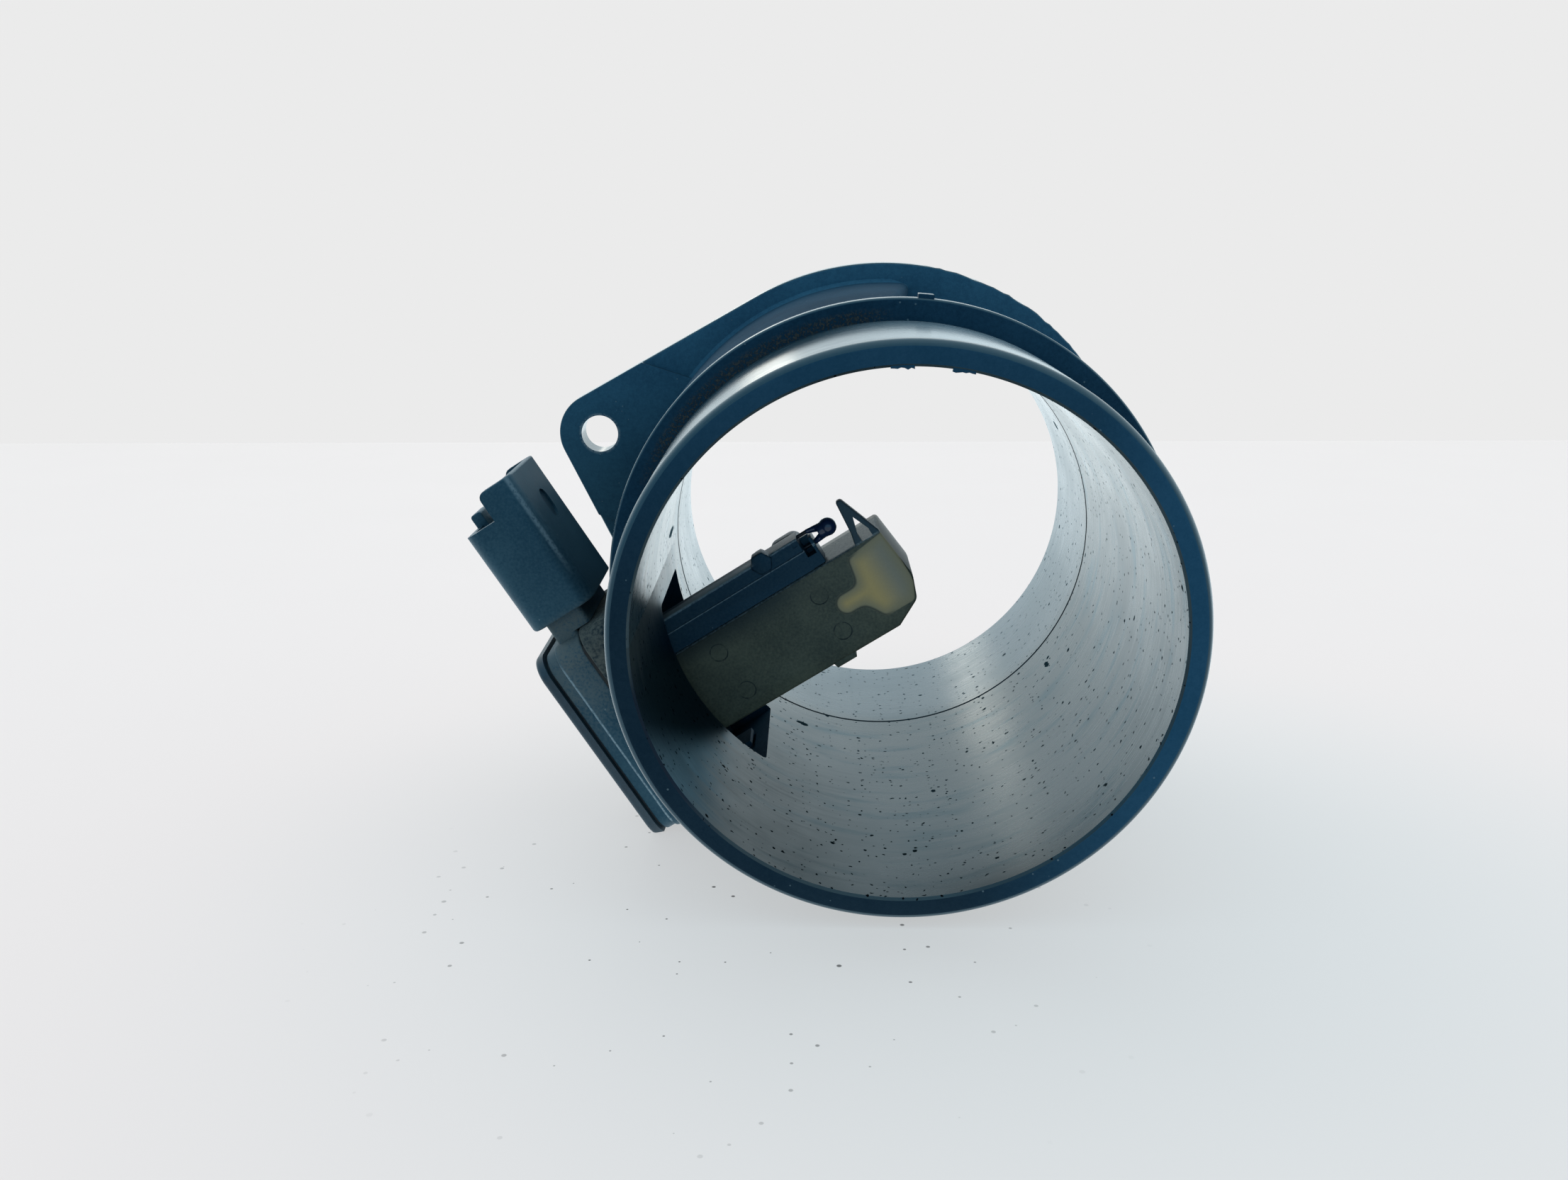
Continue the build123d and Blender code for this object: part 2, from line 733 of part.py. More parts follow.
with BuildPart() as bypass_housing:
    with BuildSketch(module_side(blade_front)) as outline:
        with BuildLine():
            Polyline(blade_outline, close=True)
        make_face()
        fillet(outline.vertices().group_by(Axis.X)[0], blade_corner_r)
    extrude(amount=channel_back - blade_front)
    chamfer(bypass_housing.faces().sort_by(Axis.Y)[0].edges(), blade_front_chamfer)

    # tip chamber, throat, measuring channel and return, open to the back
    with BuildSketch(module_side(channel_front)) as passage:
        with BuildLine():
            Polyline(
                (chamber_start + blade_tip_slant, chamber_top),
                (chamber_stop - chamber_top_bevel, chamber_top),
                (chamber_stop, channel_axis + throat_r),
                (chamber_stop, channel_axis - throat_r),
                (chamber_stop - chamber_bottom_bevel, chamber_bottom),
                (nose_place + blade_wall, chamber_bottom),
                (chamber_start, -blade_nose_height),
                close=True,
            )
        make_face()
        fillet(passage.vertices().group_by(Axis.X)[:-1], chamber_corner_r)
        with Locations(((chamber_stop - cut_past + channel_end) / 2, channel_axis)):
            Rectangle(channel_end - chamber_stop + cut_past, 2 * throat_r)
        shoulders = passage.vertices().filter_by_position(Axis.X, chamber_stop, chamber_stop)
        fillet(shoulders, throat_shoulder_r)
        with Locations(((outlet_start + channel_end) / 2, (return_top + return_bottom) / 2)):
            Rectangle(channel_end - outlet_start, return_width)
        with Locations((channel_end - return_width / 2, (channel_axis + return_bottom) / 2)):
            Rectangle(return_width, channel_axis - return_bottom)
        with Locations(((core_start + core_end) / 2, (core_bottom + chamber_top) / 2)):
            Rectangle(core_end - core_start, chamber_top - core_bottom)
    extrude(amount=blade_depth, mode=Mode.SUBTRACT)

    # outlet through the lower edge, with a low lip round it
    with BuildSketch(module_side(blade_front)):
        with BuildLine():
            Polyline(
                (outlet_start - outlet_lip_root, blade_bottom + outlet_lip_root),
                (outlet_start, blade_bottom - outlet_lip),
                (outlet_end, blade_bottom - outlet_lip),
                (outlet_end + outlet_lip_root, blade_bottom + outlet_lip_root),
                close=True,
            )
        make_face()
    extrude(amount=channel_back - blade_front)
    with BuildSketch(module_side(channel_front)):
        with Locations((outlet_start + outlet_length / 2, blade_bottom)):
            Rectangle(outlet_length - 2 * outlet_wall, 2 * (return_top - blade_bottom) - return_width)
    extrude(amount=channel_back - channel_front - blade_wall, mode=Mode.SUBTRACT)

    # way for the sensing element's carrier
    with BuildSketch(module.offset(channel_end - cut_past)):
        with Locations((channel_axis, channel_middle)):
            Rectangle(*carrier_slot)
    extrude(amount=blade_root - channel_end + 2 * cut_past, mode=Mode.SUBTRACT)

    # round marks that ejector pins leave in the front wall
    with BuildSketch(module_side(blade_front)):
        with Locations(*pin_marks):
            Circle(pin_mark_r)
    extrude(amount=pin_mark_depth, mode=Mode.SUBTRACT)

    # guard: two bars on the front wall that meet over the tip chamber's end
    with BuildSketch(module_side(blade_front)) as guard:
        foot = blade_tip + blade_tip_slant
        heel = foot + guard_foot_span
        apex = blade_tip + guard_apex_setback
        guard_top = blade_top + guard_apex_height
        guard_root = blade_top + guard_root_height
        hole_shoulder = blade_top + guard_hole_side
        with BuildLine():
            Polyline(
                (foot, blade_top - root_overlap),
                (foot, guard_root),
                (apex - guard_apex_r, guard_top),
                (apex + guard_apex_r, guard_top),
                (heel - guard_shoulder_inset, blade_top + guard_shoulder),
                (heel, guard_root),
                (heel, blade_top - root_overlap),
                close=True,
            )
        make_face()
        fillet(guard.vertices().group_by(Axis.Y)[-1], guard_apex_round)
        with BuildLine():
            Polyline(
                (foot + guard_bar, blade_top),
                (foot + guard_bar, hole_shoulder),
                (apex - guard_hole_shift, guard_top - guard_hole_to_apex),
                (heel - guard_bar, hole_shoulder),
                (heel - guard_bar, blade_top),
                close=True,
            )
        make_face(mode=Mode.SUBTRACT)
    extrude(amount=guard_thickness)
finish(bypass_housing.part, "bypass_housing")

# Rear cover of the blade, with the air inlet over the tip chamber
with BuildPart() as bypass_cover:
    with BuildSketch(module_side(channel_back)) as lid_outline:
        with BuildLine():
            Polyline(blade_outline, close=True)
        make_face()
        fillet(lid_outline.vertices().group_by(Axis.X)[0], blade_corner_r)
    extrude(amount=cover_thickness)
    rear_face = bypass_cover.faces().sort_by(Axis.Y)[-1]
    fillet(rear_face.edges(), blade_corner_r)
    with BuildSketch(module_side(channel_back)):
        with Locations(((chamber_start + chamber_stop) / 2, (chamber_top + chamber_bottom) / 2)):
            RectangleRounded(inlet_length, inlet_height, inlet_corner_r)
    extrude(amount=cover_thickness, mode=Mode.SUBTRACT, taper=-inlet_flare)
finish(bypass_cover.part, "bypass_cover")

# Air temperature sensor: a coated bead whose coating runs out along both leads
with BuildPart() as temperature_bead:
    bead_plane = module.offset(bead_place)
    with Locations(module.from_local_coords(Vector(lead_centre, lead_side, bead_place))):
        Sphere(bead_r)
    for side in (1, -1):
        with BuildSketch(bead_plane):
            with Locations((lead_centre + side * bead_tail_root_shift, lead_side)):
                Circle(bead_tail_root_r)
        with BuildSketch(module.offset(lead_start)):
            with Locations((lead_centre + side * lead_spacing / 2, lead_side)):
                Circle(bead_tail_r)
        loft()
finish(temperature_bead.part, "temperature_bead")

# Lid of the tray, with a lip that drops into the tray's mouth
with BuildPart() as module_lid:
    with BuildSketch(module.offset(lid_bottom)):
        RectangleRounded(tray_length, tray_width, tray_corner_r)
    extrude(amount=lid_thickness)
    outer_face = module_lid.faces().sort_by(Axis(module.origin, module.z_dir))[-1]
    fillet(outer_face.edges(), lid_edge_round)
    lip_length = cavity_length - 2 * fit_clearance
    lip_width = cavity_width - 2 * fit_clearance
    with BuildSketch(module.offset(tray_top - lid_lip_depth)):
        RectangleRounded(lip_length, lip_width, cavity_corner_r)
        RectangleRounded(
            lip_length - 2 * lid_lip_wall, lip_width - 2 * lid_lip_wall, lid_lip_corner_r,
            mode=Mode.SUBTRACT,
        )
    extrude(amount=lid_lip_depth + lid_gap)
finish(module_lid.part, "module_lid")

# Bead of adhesive between the tray's rim and the lid
with BuildPart() as lid_adhesive:
    with BuildSketch(module.offset(tray_top)):
        inner_length = cavity_length + 2 * fit_clearance
        inner_width = cavity_width + 2 * fit_clearance
        RectangleRounded(
            inner_length + 2 * adhesive_width, inner_width + 2 * adhesive_width,
            cavity_corner_r + adhesive_width,
        )
        RectangleRounded(inner_length, inner_width, cavity_corner_r, mode=Mode.SUBTRACT)
    extrude(amount=lid_gap)
finish(lid_adhesive.part, "lid_adhesive")

# Metal plate on the tray's floor, and the circuit board on it: both are slotted for the carrier
for name, level, thickness, length, width in (
    ("base_plate", tray_floor_top, plate_thickness, plate_length, plate_width),
    ("circuit_board", plate_top, board_thickness, board_length, board_width),
):
    with BuildPart() as layer:
        with BuildSketch(module.offset(level)):
            with Locations((plate_shift, 0)):
                RectangleRounded(length, width, board_corner_r)
            with Locations((channel_axis, channel_middle)):
                Rectangle(*carrier_slot, mode=Mode.SUBTRACT)
        extrude(amount=thickness)
    finish(layer.part, name)

# Signal chip and the capacitors beside it
with BuildPart() as signal_chip:
    with BuildSketch(module.offset(board_top)):
        with Locations((plate_shift + chip_place, 0)):
            Rectangle(chip_size, chip_size)
    extrude(amount=chip_height)
    chamfer(signal_chip.faces().sort_by(Axis(module.origin, module.z_dir))[-1].edges(), chip_edge)
finish(signal_chip.part, "signal_chip")

for index, (along, beside) in enumerate(capacitor_places, start=1):
    with BuildPart() as capacitor:
        with BuildSketch(module.offset(board_top)):
            with Locations((plate_shift + along, beside)):
                Rectangle(capacitor_length, capacitor_width)
        extrude(amount=capacitor_height)
    finish(capacitor.part, f"capacitor_{index}")

# Carrier of the sensing element: a thin finger from the board into the measuring channel
carrier_top = board_top + carrier_lift
with BuildPart() as sensor_carrier:
    with BuildSketch(module.offset(carrier_end)):
        with Locations((channel_axis, channel_middle)):
            Rectangle(carrier_width, carrier_thickness)
    extrude(amount=carrier_top - carrier_end)
    tip_edges = sensor_carrier.edges().filter_by(Axis(module.origin, module.y_dir)).group_by(
        Axis(module.origin, module.z_dir)
    )[0]
    chamfer(tip_edges, carrier_tip_bevel)
finish(sensor_carrier.part, "sensor_carrier")

# Hot-film element bonded on the carrier
with BuildPart() as hot_film:
    with BuildSketch(module_side(channel_middle + carrier_thickness / 2)):
        with Locations((carrier_end + film_setback + film_length / 2, channel_axis)):
            Rectangle(film_length, film_width)
    extrude(amount=film_thickness)
finish(hot_film.part, "hot_film")
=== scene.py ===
import math

import bmesh
import bpy
from mathutils import Matrix, Vector, noise


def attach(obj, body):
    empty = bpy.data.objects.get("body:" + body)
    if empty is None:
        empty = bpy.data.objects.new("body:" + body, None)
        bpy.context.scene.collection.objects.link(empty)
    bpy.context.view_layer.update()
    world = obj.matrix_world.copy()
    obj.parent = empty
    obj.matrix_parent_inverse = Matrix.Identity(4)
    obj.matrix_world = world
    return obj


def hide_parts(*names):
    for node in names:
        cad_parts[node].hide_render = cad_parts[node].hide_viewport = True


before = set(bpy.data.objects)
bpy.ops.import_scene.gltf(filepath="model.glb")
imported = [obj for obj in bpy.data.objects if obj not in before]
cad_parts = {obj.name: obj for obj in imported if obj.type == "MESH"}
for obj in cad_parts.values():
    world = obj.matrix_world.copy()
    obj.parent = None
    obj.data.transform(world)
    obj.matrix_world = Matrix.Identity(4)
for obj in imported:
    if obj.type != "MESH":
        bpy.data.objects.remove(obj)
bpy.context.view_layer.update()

# Duct: the one big moulding of glass-filled plastic, drawn in millimetres. A turned core, a flange
# plate with two ears, a thick shell on the module's side and the module's boss are joined, before
# the bore, the module's window and the screw holes are cut through them, as cores do in the mould.
HOSE_END, BEAD_FRONT, BEAD_BACK, WAIST, FLANGE_FRONT = -77.8, -50.1, -47.5, -12.8, -4.0
GROOVE_FRONT, GROOVE_BACK, SPIGOT_END, SPIGOT_EDGE = 2.2, 5.5, 16.7, 0.8
HOSE_R, BEAD_R, BARREL_R, GROOVE_R, SHELL_R, FLARE_R = 40.0, 43.2, 38.9, 37.6, 42.9, 43.5
BORE_R, WAIST_R, PARTING_R, STEP_R, MOUTH_EDGE = 36.6, 36.35, 36.58, 36.3, 0.35
FLANGE_R, EAR_R, EAR_REACH, SCREW_R = 46.2, 7.3, 53.4, 3.3
BEAD_EDGE, HOSE_LIP, PAD_RISE, PAD_HALF, FLARE, OVERLAP = 0.4, 1.2, 0.8, 14.6, 0.7, 0.5
SHELL_BEFORE, SHELL_AFTER, SHELL_SKEW = math.radians(128.25), math.radians(24.0), math.radians(7.6)
EAR_AZIMUTH, MODULE_AZIMUTH, MODULE_Y = math.radians(162.15), math.radians(212.15), -32.0
NUB_AZIMUTH = math.radians(85)


def turned(profile, corners=(), steps=288):
    """Solid turned about the bore's axis from (radius, place) points, with rounded corners."""
    bm = bmesh.new()
    points = [bm.verts.new((radius, place, 0)) for radius, place in profile]
    for pair in zip(points, points[1:]):
        bm.edges.new(pair)
    for index, radius in corners:
        bmesh.ops.bevel(bm, geom=[points[index]], offset=radius, affect="VERTICES", segments=5,
                        profile=0.5, material=-1)
    bmesh.ops.spin(bm, geom=bm.verts[:] + bm.edges[:], cent=(0, 0, 0), axis=(0, 1, 0),
                   angle=math.tau, steps=steps, use_merge=True)
    return bm


def across(azimuth, radius, place=0.0):
    """Point at an angle round the bore, measured from X towards Z."""
    return Vector((radius * math.cos(azimuth), place, radius * math.sin(azimuth)))


def solid(bm, name, place=Matrix.Identity(4)):
    """Object from a closed bmesh, still in millimetres."""
    bmesh.ops.remove_doubles(bm, verts=bm.verts, dist=0.0005)
    bmesh.ops.recalc_face_normals(bm, faces=bm.faces)
    bm.transform(place)
    mesh = bpy.data.meshes.new(name)
    bm.to_mesh(mesh)
    bm.free()
    piece = bpy.data.objects.new(name, mesh)
    bpy.context.collection.objects.link(piece)
    return piece


def settle(piece):
    """Put what a piece's modifiers make in place of its mesh."""
    shape = piece.evaluated_get(bpy.context.evaluated_depsgraph_get())
    mesh = bpy.data.meshes.new_from_object(shape)
    piece.modifiers.clear()
    piece.data = mesh


def carve(piece, operation, *tools):
    """Join the tools to the piece, or cut them out of it, and use them up."""
    for tool in tools:
        step = piece.modifiers.new("carve", "BOOLEAN")
        step.object, step.operation, step.solver = tool, operation, "EXACT"
    settle(piece)
    for tool in tools:
        bpy.data.meshes.remove(tool.data)


def push(bm, faces, vector):
    """Thicken flat faces into a block along a vector."""
    pushed = bmesh.ops.extrude_face_region(bm, geom=faces)
    bmesh.ops.translate(bm, vec=vector,
                        verts=[v for v in pushed["geom"] if isinstance(v, bmesh.types.BMVert)])


def disc(centre, radius, low, high, steps=96):
    """Closed round bar along the bore between two places."""
    bm = bmesh.new()
    made = bmesh.ops.create_cone(bm, cap_ends=True, segments=steps, radius1=radius, radius2=radius,
                                 depth=high - low)
    turn = Matrix.Rotation(math.pi / 2, 4, "X")
    middle = Vector((centre[0], (low + high) / 2, centre[2]))
    bmesh.ops.transform(bm, matrix=Matrix.Translation(middle) @ turn, verts=made["verts"])
    return bm


def eared_plate(low, high, rim):
    """Flange plate: the hull of the round flange and the two ears, with rounded rims."""
    bm = bmesh.new()
    for centre, radius, steps in (
        (Vector(), FLANGE_R, 288),
        (across(EAR_AZIMUTH, EAR_REACH), EAR_R, 96),
        (across(EAR_AZIMUTH + math.pi, EAR_REACH), EAR_R, 96),
    ):
        part = disc(centre, radius, low, high, steps)
        mesh = bpy.data.meshes.new("disc")
        part.to_mesh(mesh)
        part.free()
        bm.from_mesh(mesh)
        bpy.data.meshes.remove(mesh)
    bmesh.ops.delete(bm, geom=bm.faces[:], context="FACES_ONLY")
    hull = bmesh.ops.convex_hull(bm, input=bm.verts[:])
    bmesh.ops.delete(bm, geom=list({v for v in hull["geom_interior"] + hull["geom_unused"]
                                    if isinstance(v, bmesh.types.BMVert)}), context="VERTS")
    bmesh.ops.dissolve_limit(bm, angle_limit=math.radians(0.2), verts=bm.verts, edges=bm.edges)
    bmesh.ops.recalc_face_normals(bm, faces=bm.faces)
    rims = [edge for edge in bm.edges if abs(edge.verts[0].co.y - edge.verts[1].co.y) < 1e-4
            and edge.calc_face_angle(0) > 1]
    bmesh.ops.bevel(bm, geom=rims, offset=rim, affect="EDGES", segments=3, profile=0.5, material=-1)
    return bm


housing = solid(turned(
    [(0, HOSE_END), (HOSE_R, HOSE_END), (HOSE_R, BEAD_FRONT), (BEAD_R, BEAD_FRONT),
     (BEAD_R, BEAD_BACK), (BARREL_R, BEAD_BACK), (BARREL_R, GROOVE_FRONT), (GROOVE_R, GROOVE_FRONT),
     (GROOVE_R, GROOVE_BACK), (BARREL_R, GROOVE_BACK), (BARREL_R, SPIGOT_END - SPIGOT_EDGE),
     (BARREL_R - SPIGOT_EDGE, SPIGOT_END), (0, SPIGOT_END)],
    ((11, 0.4), (4, BEAD_EDGE), (3, BEAD_EDGE), (1, HOSE_LIP))), "duct_housing")
plate = solid(eared_plate(FLANGE_FRONT, 0.0, 0.35), "plate")

# The raised pad of each ear is the same plate further forward, cut off along a straight step.
pads = solid(eared_plate(FLANGE_FRONT - PAD_RISE, FLANGE_FRONT + 1.0, 0.25), "pads")
wedge = bmesh.new()
inner, outer, before, depth = 20, 68, Vector((0, -6, 0)), (0, 8, 0)
for azimuth in (EAR_AZIMUTH, EAR_AZIMUTH + math.pi):
    ear_way, side_way = across(azimuth, 1), across(azimuth - math.pi / 2, PAD_HALF)
    corners = [ear_way * reach + side_way * side + before
               for reach, side in ((inner, 1), (outer, 1), (outer, -1), (inner, -1))]
    push(wedge, [wedge.faces.new([wedge.verts.new(corner) for corner in corners])], depth)
carve(pads, "INTERSECT", solid(wedge, "wedge"))

# The thick shell is a ring sector that flares into the flange. Its upper end is cut off slanting
# and its outer edge there is rounded.
sector = bmesh.new()
start = MODULE_AZIMUTH - SHELL_BEFORE
section = [sector.verts.new((radius, place, 0)) for radius, place in
           ((BARREL_R - 0.7, FLANGE_FRONT + OVERLAP), (FLARE_R, FLANGE_FRONT + OVERLAP),
            (FLARE_R, FLANGE_FRONT), (SHELL_R, FLANGE_FRONT - FLARE),
            (SHELL_R, BEAD_BACK - OVERLAP), (BARREL_R - 0.7, BEAD_BACK - OVERLAP))]
sector.faces.new(section)
bmesh.ops.rotate(sector, cent=(0, 0, 0), matrix=Matrix.Rotation(-start, 3, "Y"), verts=sector.verts)
bmesh.ops.spin(sector, geom=sector.faces[:] + sector.edges[:] + sector.verts[:], cent=(0, 0, 0),
               axis=(0, 1, 0), angle=-(SHELL_BEFORE + SHELL_AFTER), steps=152)
near = across(start, SHELL_R, FLANGE_FRONT)
far = across(start + SHELL_SKEW, SHELL_R, BEAD_BACK)
slant = Vector((near.x - far.x, near.y - far.y, 0)).cross(Vector((0, 0, 1)))
bmesh.ops.bisect_plane(sector, geom=sector.faces[:] + sector.edges[:] + sector.verts[:],
                       plane_co=near, plane_no=slant, clear_outer=slant.x > 0,
                       clear_inner=slant.x < 0)
bmesh.ops.holes_fill(sector, edges=sector.edges, sides=0)
end_way = slant.normalized() * (1 if slant.x > 0 else -1)
outer_way = across(start + SHELL_SKEW / 2, 1)
middle = (near + far) / 2 - end_way - outer_way
for turn in (18, 36, 54, 72):
    way = end_way * math.cos(math.radians(turn)) + outer_way * math.sin(math.radians(turn))
    bmesh.ops.bisect_plane(sector, geom=sector.faces[:] + sector.edges[:] + sector.verts[:],
                           plane_co=middle + way, plane_no=way, clear_outer=True)
    bmesh.ops.holes_fill(sector, edges=sector.edges, sides=0)
shell = solid(sector, "shell")

# Module frame: X towards the connector, Y along the bore and Z outwards from the bore's axis.
outwards, connector_way = across(MODULE_AZIMUTH, 1), across(MODULE_AZIMUTH - math.pi / 2, 1)
module = Matrix.Translation((0, MODULE_Y, 0)) @ Matrix(
    (connector_way, (0, 1, 0), outwards)).transposed().to_4x4()


def block(low, high, corner=0.0, along=2, rim=0.0, place=module):
    """Box between two corners, with round corners along one axis and rounded rims across it."""
    bm = bmesh.new()
    bmesh.ops.create_cube(bm, size=1)
    low, high = Vector(low), Vector(high)
    bmesh.ops.scale(bm, vec=high - low, verts=bm.verts)
    bmesh.ops.translate(bm, vec=(low + high) / 2, verts=bm.verts)
    if corner:
        uprights = [e for e in bm.edges if abs(e.verts[0].co[along] - e.verts[1].co[along]) > 1e-4]
        bmesh.ops.bevel(bm, geom=uprights, offset=corner, affect="EDGES", segments=8, profile=0.5,
                        material=-1)
    if rim:
        rims = [e for e in bm.edges if abs(e.verts[0].co[along] - e.verts[1].co[along]) < 1e-5]
        bmesh.ops.bevel(bm, geom=rims, offset=rim, affect="EDGES", segments=3, profile=0.5,
                        material=-1)
    return solid(bm, "block", place)


boss = block((-18.8, -13.2, 30), (18.8, 13.2, 46.9), corner=3.6, rim=0.3)
nub = block((-1.15, BEAD_FRONT + 0.3, 42.0), (1.15, BEAD_BACK - 0.3, 43.8), rim=0.15,
            place=Matrix.Rotation(math.pi / 2 - NUB_AZIMUTH, 4, "Y"))
carve(housing, "UNION", plate, pads, shell, boss, nub)

bore = solid(turned(
    [(0, HOSE_END - 3), (BORE_R + MOUTH_EDGE + 3, HOSE_END - 3), (BORE_R, HOSE_END + MOUTH_EDGE),
     (WAIST_R, WAIST - 0.2), (PARTING_R, WAIST - 0.1), (PARTING_R, WAIST + 0.1),
     (STEP_R, WAIST + 0.3), (BORE_R, 19), (0, 19)]), "bore")
window = block((-15.35, -11.4, 20), (15.35, 11.4, 60), corner=0.8)
hook_pockets = block((-16.35, -3.12, 35.68), (16.35, 3.12, 38.52))
screw_holes = [solid(disc(across(EAR_AZIMUTH + turn, EAR_REACH), SCREW_R, -9, 4, 64), "hole")
               for turn in (0, math.pi)]
carve(housing, "DIFFERENCE", bore, window, hook_pockets, *screw_holes)

# Slivers of flash hang into the mouth at its top, and the flange's rim is ragged where the
# mould's halves met.
slivers = []
for azimuth, width in ((92.1, 3.0), (80.1, 2.9)):
    sliver = bmesh.new()
    bmesh.ops.create_cube(sliver, size=1)
    bmesh.ops.scale(sliver, vec=(width, 0.4, 1.1), verts=sliver.verts)
    bmesh.ops.subdivide_edges(sliver, edges=sliver.edges[:], cuts=6, use_grid_fill=True)
    for vert in sliver.verts:
        if vert.co.z < 0:
            vert.co.z += 0.35 * noise.noise(Vector((vert.co.x * 1.7 + azimuth, 0.5, 0.5))) + 0.05
    hang = Matrix.Rotation(math.radians(90 - azimuth), 4, "Y") @ Matrix.Translation(
        (0, HOSE_END + MOUTH_EDGE, BORE_R + 0.25))
    slivers.append(solid(sliver, "sliver", hang))
carve(housing, "UNION", *slivers)
for vert in housing.data.vertices:
    turn, reach = math.degrees(math.atan2(vert.co.z, vert.co.x)), math.hypot(vert.co.x, vert.co.z)
    if vert.co.y > FLANGE_FRONT - 0.01 and reach > FLANGE_R - 0.6 and 25 < turn < 80:
        vert.co *= 1 + 0.0045 * noise.noise(Vector((turn * 0.55, vert.co.y * 0.3, 0.5)))


class Value:
    """One value of a material's node tree. Arithmetic on it adds Math nodes."""

    def __init__(self, tree, socket):
        self.tree, self.socket = tree, socket

    def node(self, kind, settings=None, sockets=None, output=0):
        """New node: its settings, such as an operation, and then its sockets' values or links."""
        made = self.tree.nodes.new(kind)
        for name, setting in (settings or {}).items():
            setattr(made, name, setting)
        for name, given in (sockets or {}).items():
            target = made.inputs[name]
            if isinstance(given, Value):
                self.tree.links.new(given.socket, target)
            elif target.type == "RGBA":
                target.default_value = (*given, 1)
            else:
                target.default_value = given
        return Value(self.tree, made.outputs[output])

    def math(self, operation, *terms):
        return self.node("ShaderNodeMath", {"operation": operation}, dict(enumerate(terms)))

    def __add__(self, other):
        return self.math("ADD", self, other)

    def __mul__(self, other):
        return self.math("MULTIPLY", self, other)

    def __sub__(self, other):
        return self.math("SUBTRACT", self, other)

    def __rsub__(self, other):
        return self.math("SUBTRACT", other, self)

    def __truediv__(self, other):
        return self.math("DIVIDE", self, other)

    def __abs__(self):
        return self.math("ABSOLUTE", self)

    __radd__, __rmul__ = __add__, __mul__

    def most(self, other):
        return self.math("MAXIMUM", self, other)

    def least(self, other):
        return self.math("MINIMUM", self, other)

    def soft_most(self, other, distance):
        return self.math("SMOOTH_MAX", self, other, distance)

    def soft_least(self, other, distance):
        return self.math("SMOOTH_MIN", self, other, distance)

    def squares(self, other):
        """Square of the distance that this value and one at right angles to it make up."""
        return self * self + other * other

    def reach(self, other):
        return self.math("SQRT", self.squares(other))

    def seen_from(self, place):
        """Coordinates of a point in a piece's own frame: its X, Y and Z axes, in that order."""
        axes = place.to_3x3()
        return [self.node("ShaderNodeVectorMath", {"operation": "DOT_PRODUCT"},
                          {0: self, 1: axes.col[index]}, 1) - axes.col[index].dot(place.translation)
                for index in range(3)]

    def rise(self, low, high):
        """0 below low and 1 above high, with a smooth slope between them."""
        return self.node("ShaderNodeMapRange", {"interpolation_type": "SMOOTHSTEP"},
                         {"Value": self, "From Min": low, "From Max": high})

    def blend(self, dark, light):
        """Colour between two colours, with this value as the factor."""
        return self.node("ShaderNodeMix", {"data_type": "RGBA"}, {0: self, 6: dark, 7: light}, 2)

    def parts(self):
        split = self.node("ShaderNodeSeparateXYZ", None, {0: self})
        return [Value(self.tree, socket) for socket in split.socket.node.outputs]

    def noise(self, scale, detail=3.0, rough=0.5, stretch=(1, 1, 1)):
        place = self.node("ShaderNodeMapping", {"vector_type": "POINT"}, {0: self, 3: stretch})
        return self.node("ShaderNodeTexNoise", None,
                         {"Vector": place, "Scale": scale, "Detail": detail, "Roughness": rough})

    def specks(self, scale, size, keep, flat=False):
        """Round specks in a share of a cell pattern's cells: 1 in the speck and 0 outside."""
        cell = self.node("ShaderNodeTexVoronoi", {"voronoi_dimensions": "2D" if flat else "3D"},
                         {"Vector": self, "Scale": scale})
        shade = self.node("ShaderNodeSeparateColor", None,
                          {0: Value(self.tree, cell.socket.node.outputs["Color"])})
        chosen = shade.math("LESS_THAN", shade, keep)
        spread = Value(self.tree, shade.socket.node.outputs[1])
        return (1 - cell.math("DIVIDE", cell, spread * size + size * 0.35).rise(0.6, 1.0)) * chosen


def finish(material, colour, roughness, height=None, depth=0.0, **fixed):
    """Close a material: varying colour, roughness and height, and other sockets of the shader."""
    tree = material.node_tree
    shader = tree.nodes.new("ShaderNodeBsdfPrincipled")
    sockets = {"Base Color": colour, "Roughness": roughness}
    if height is not None:
        sockets["Normal"] = colour.node("ShaderNodeBump", None,
                                        {"Strength": 1.0, "Distance": depth, "Height": height})
    for socket, given in {**sockets, **{k.replace("_", " "): v for k, v in fixed.items()}}.items():
        if isinstance(given, Value):
            tree.links.new(given.socket, shader.inputs[socket])
        else:
            shader.inputs[socket].default_value = given
    tree.links.new(shader.outputs[0], tree.nodes.new("ShaderNodeOutputMaterial").inputs[0])


def surface(name):
    """New material and its point in object coordinates, in millimetres."""
    material = bpy.data.materials.new(name)
    material.use_nodes = True
    material.node_tree.nodes.clear()
    place = material.node_tree.nodes.new("ShaderNodeTexCoord")
    point = Value(material.node_tree, place.outputs["Object"])
    return material, point.node("ShaderNodeVectorMath", {"operation": "SCALE"},
                                {0: point, 3: 1000.0})


def dress(piece, material, slot, *nodes, angle=32):
    """Bring a piece to metres, shade and colour it, and put it in the CAD nodes' place."""
    piece.data.transform(Matrix.Scale(0.001, 4))
    piece.data.shade_smooth()
    piece.data.set_sharp_from_angle(angle=math.radians(angle))
    piece.data.materials.clear()
    piece.data.materials.append(material)
    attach(piece, "root")
    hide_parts(*nodes)


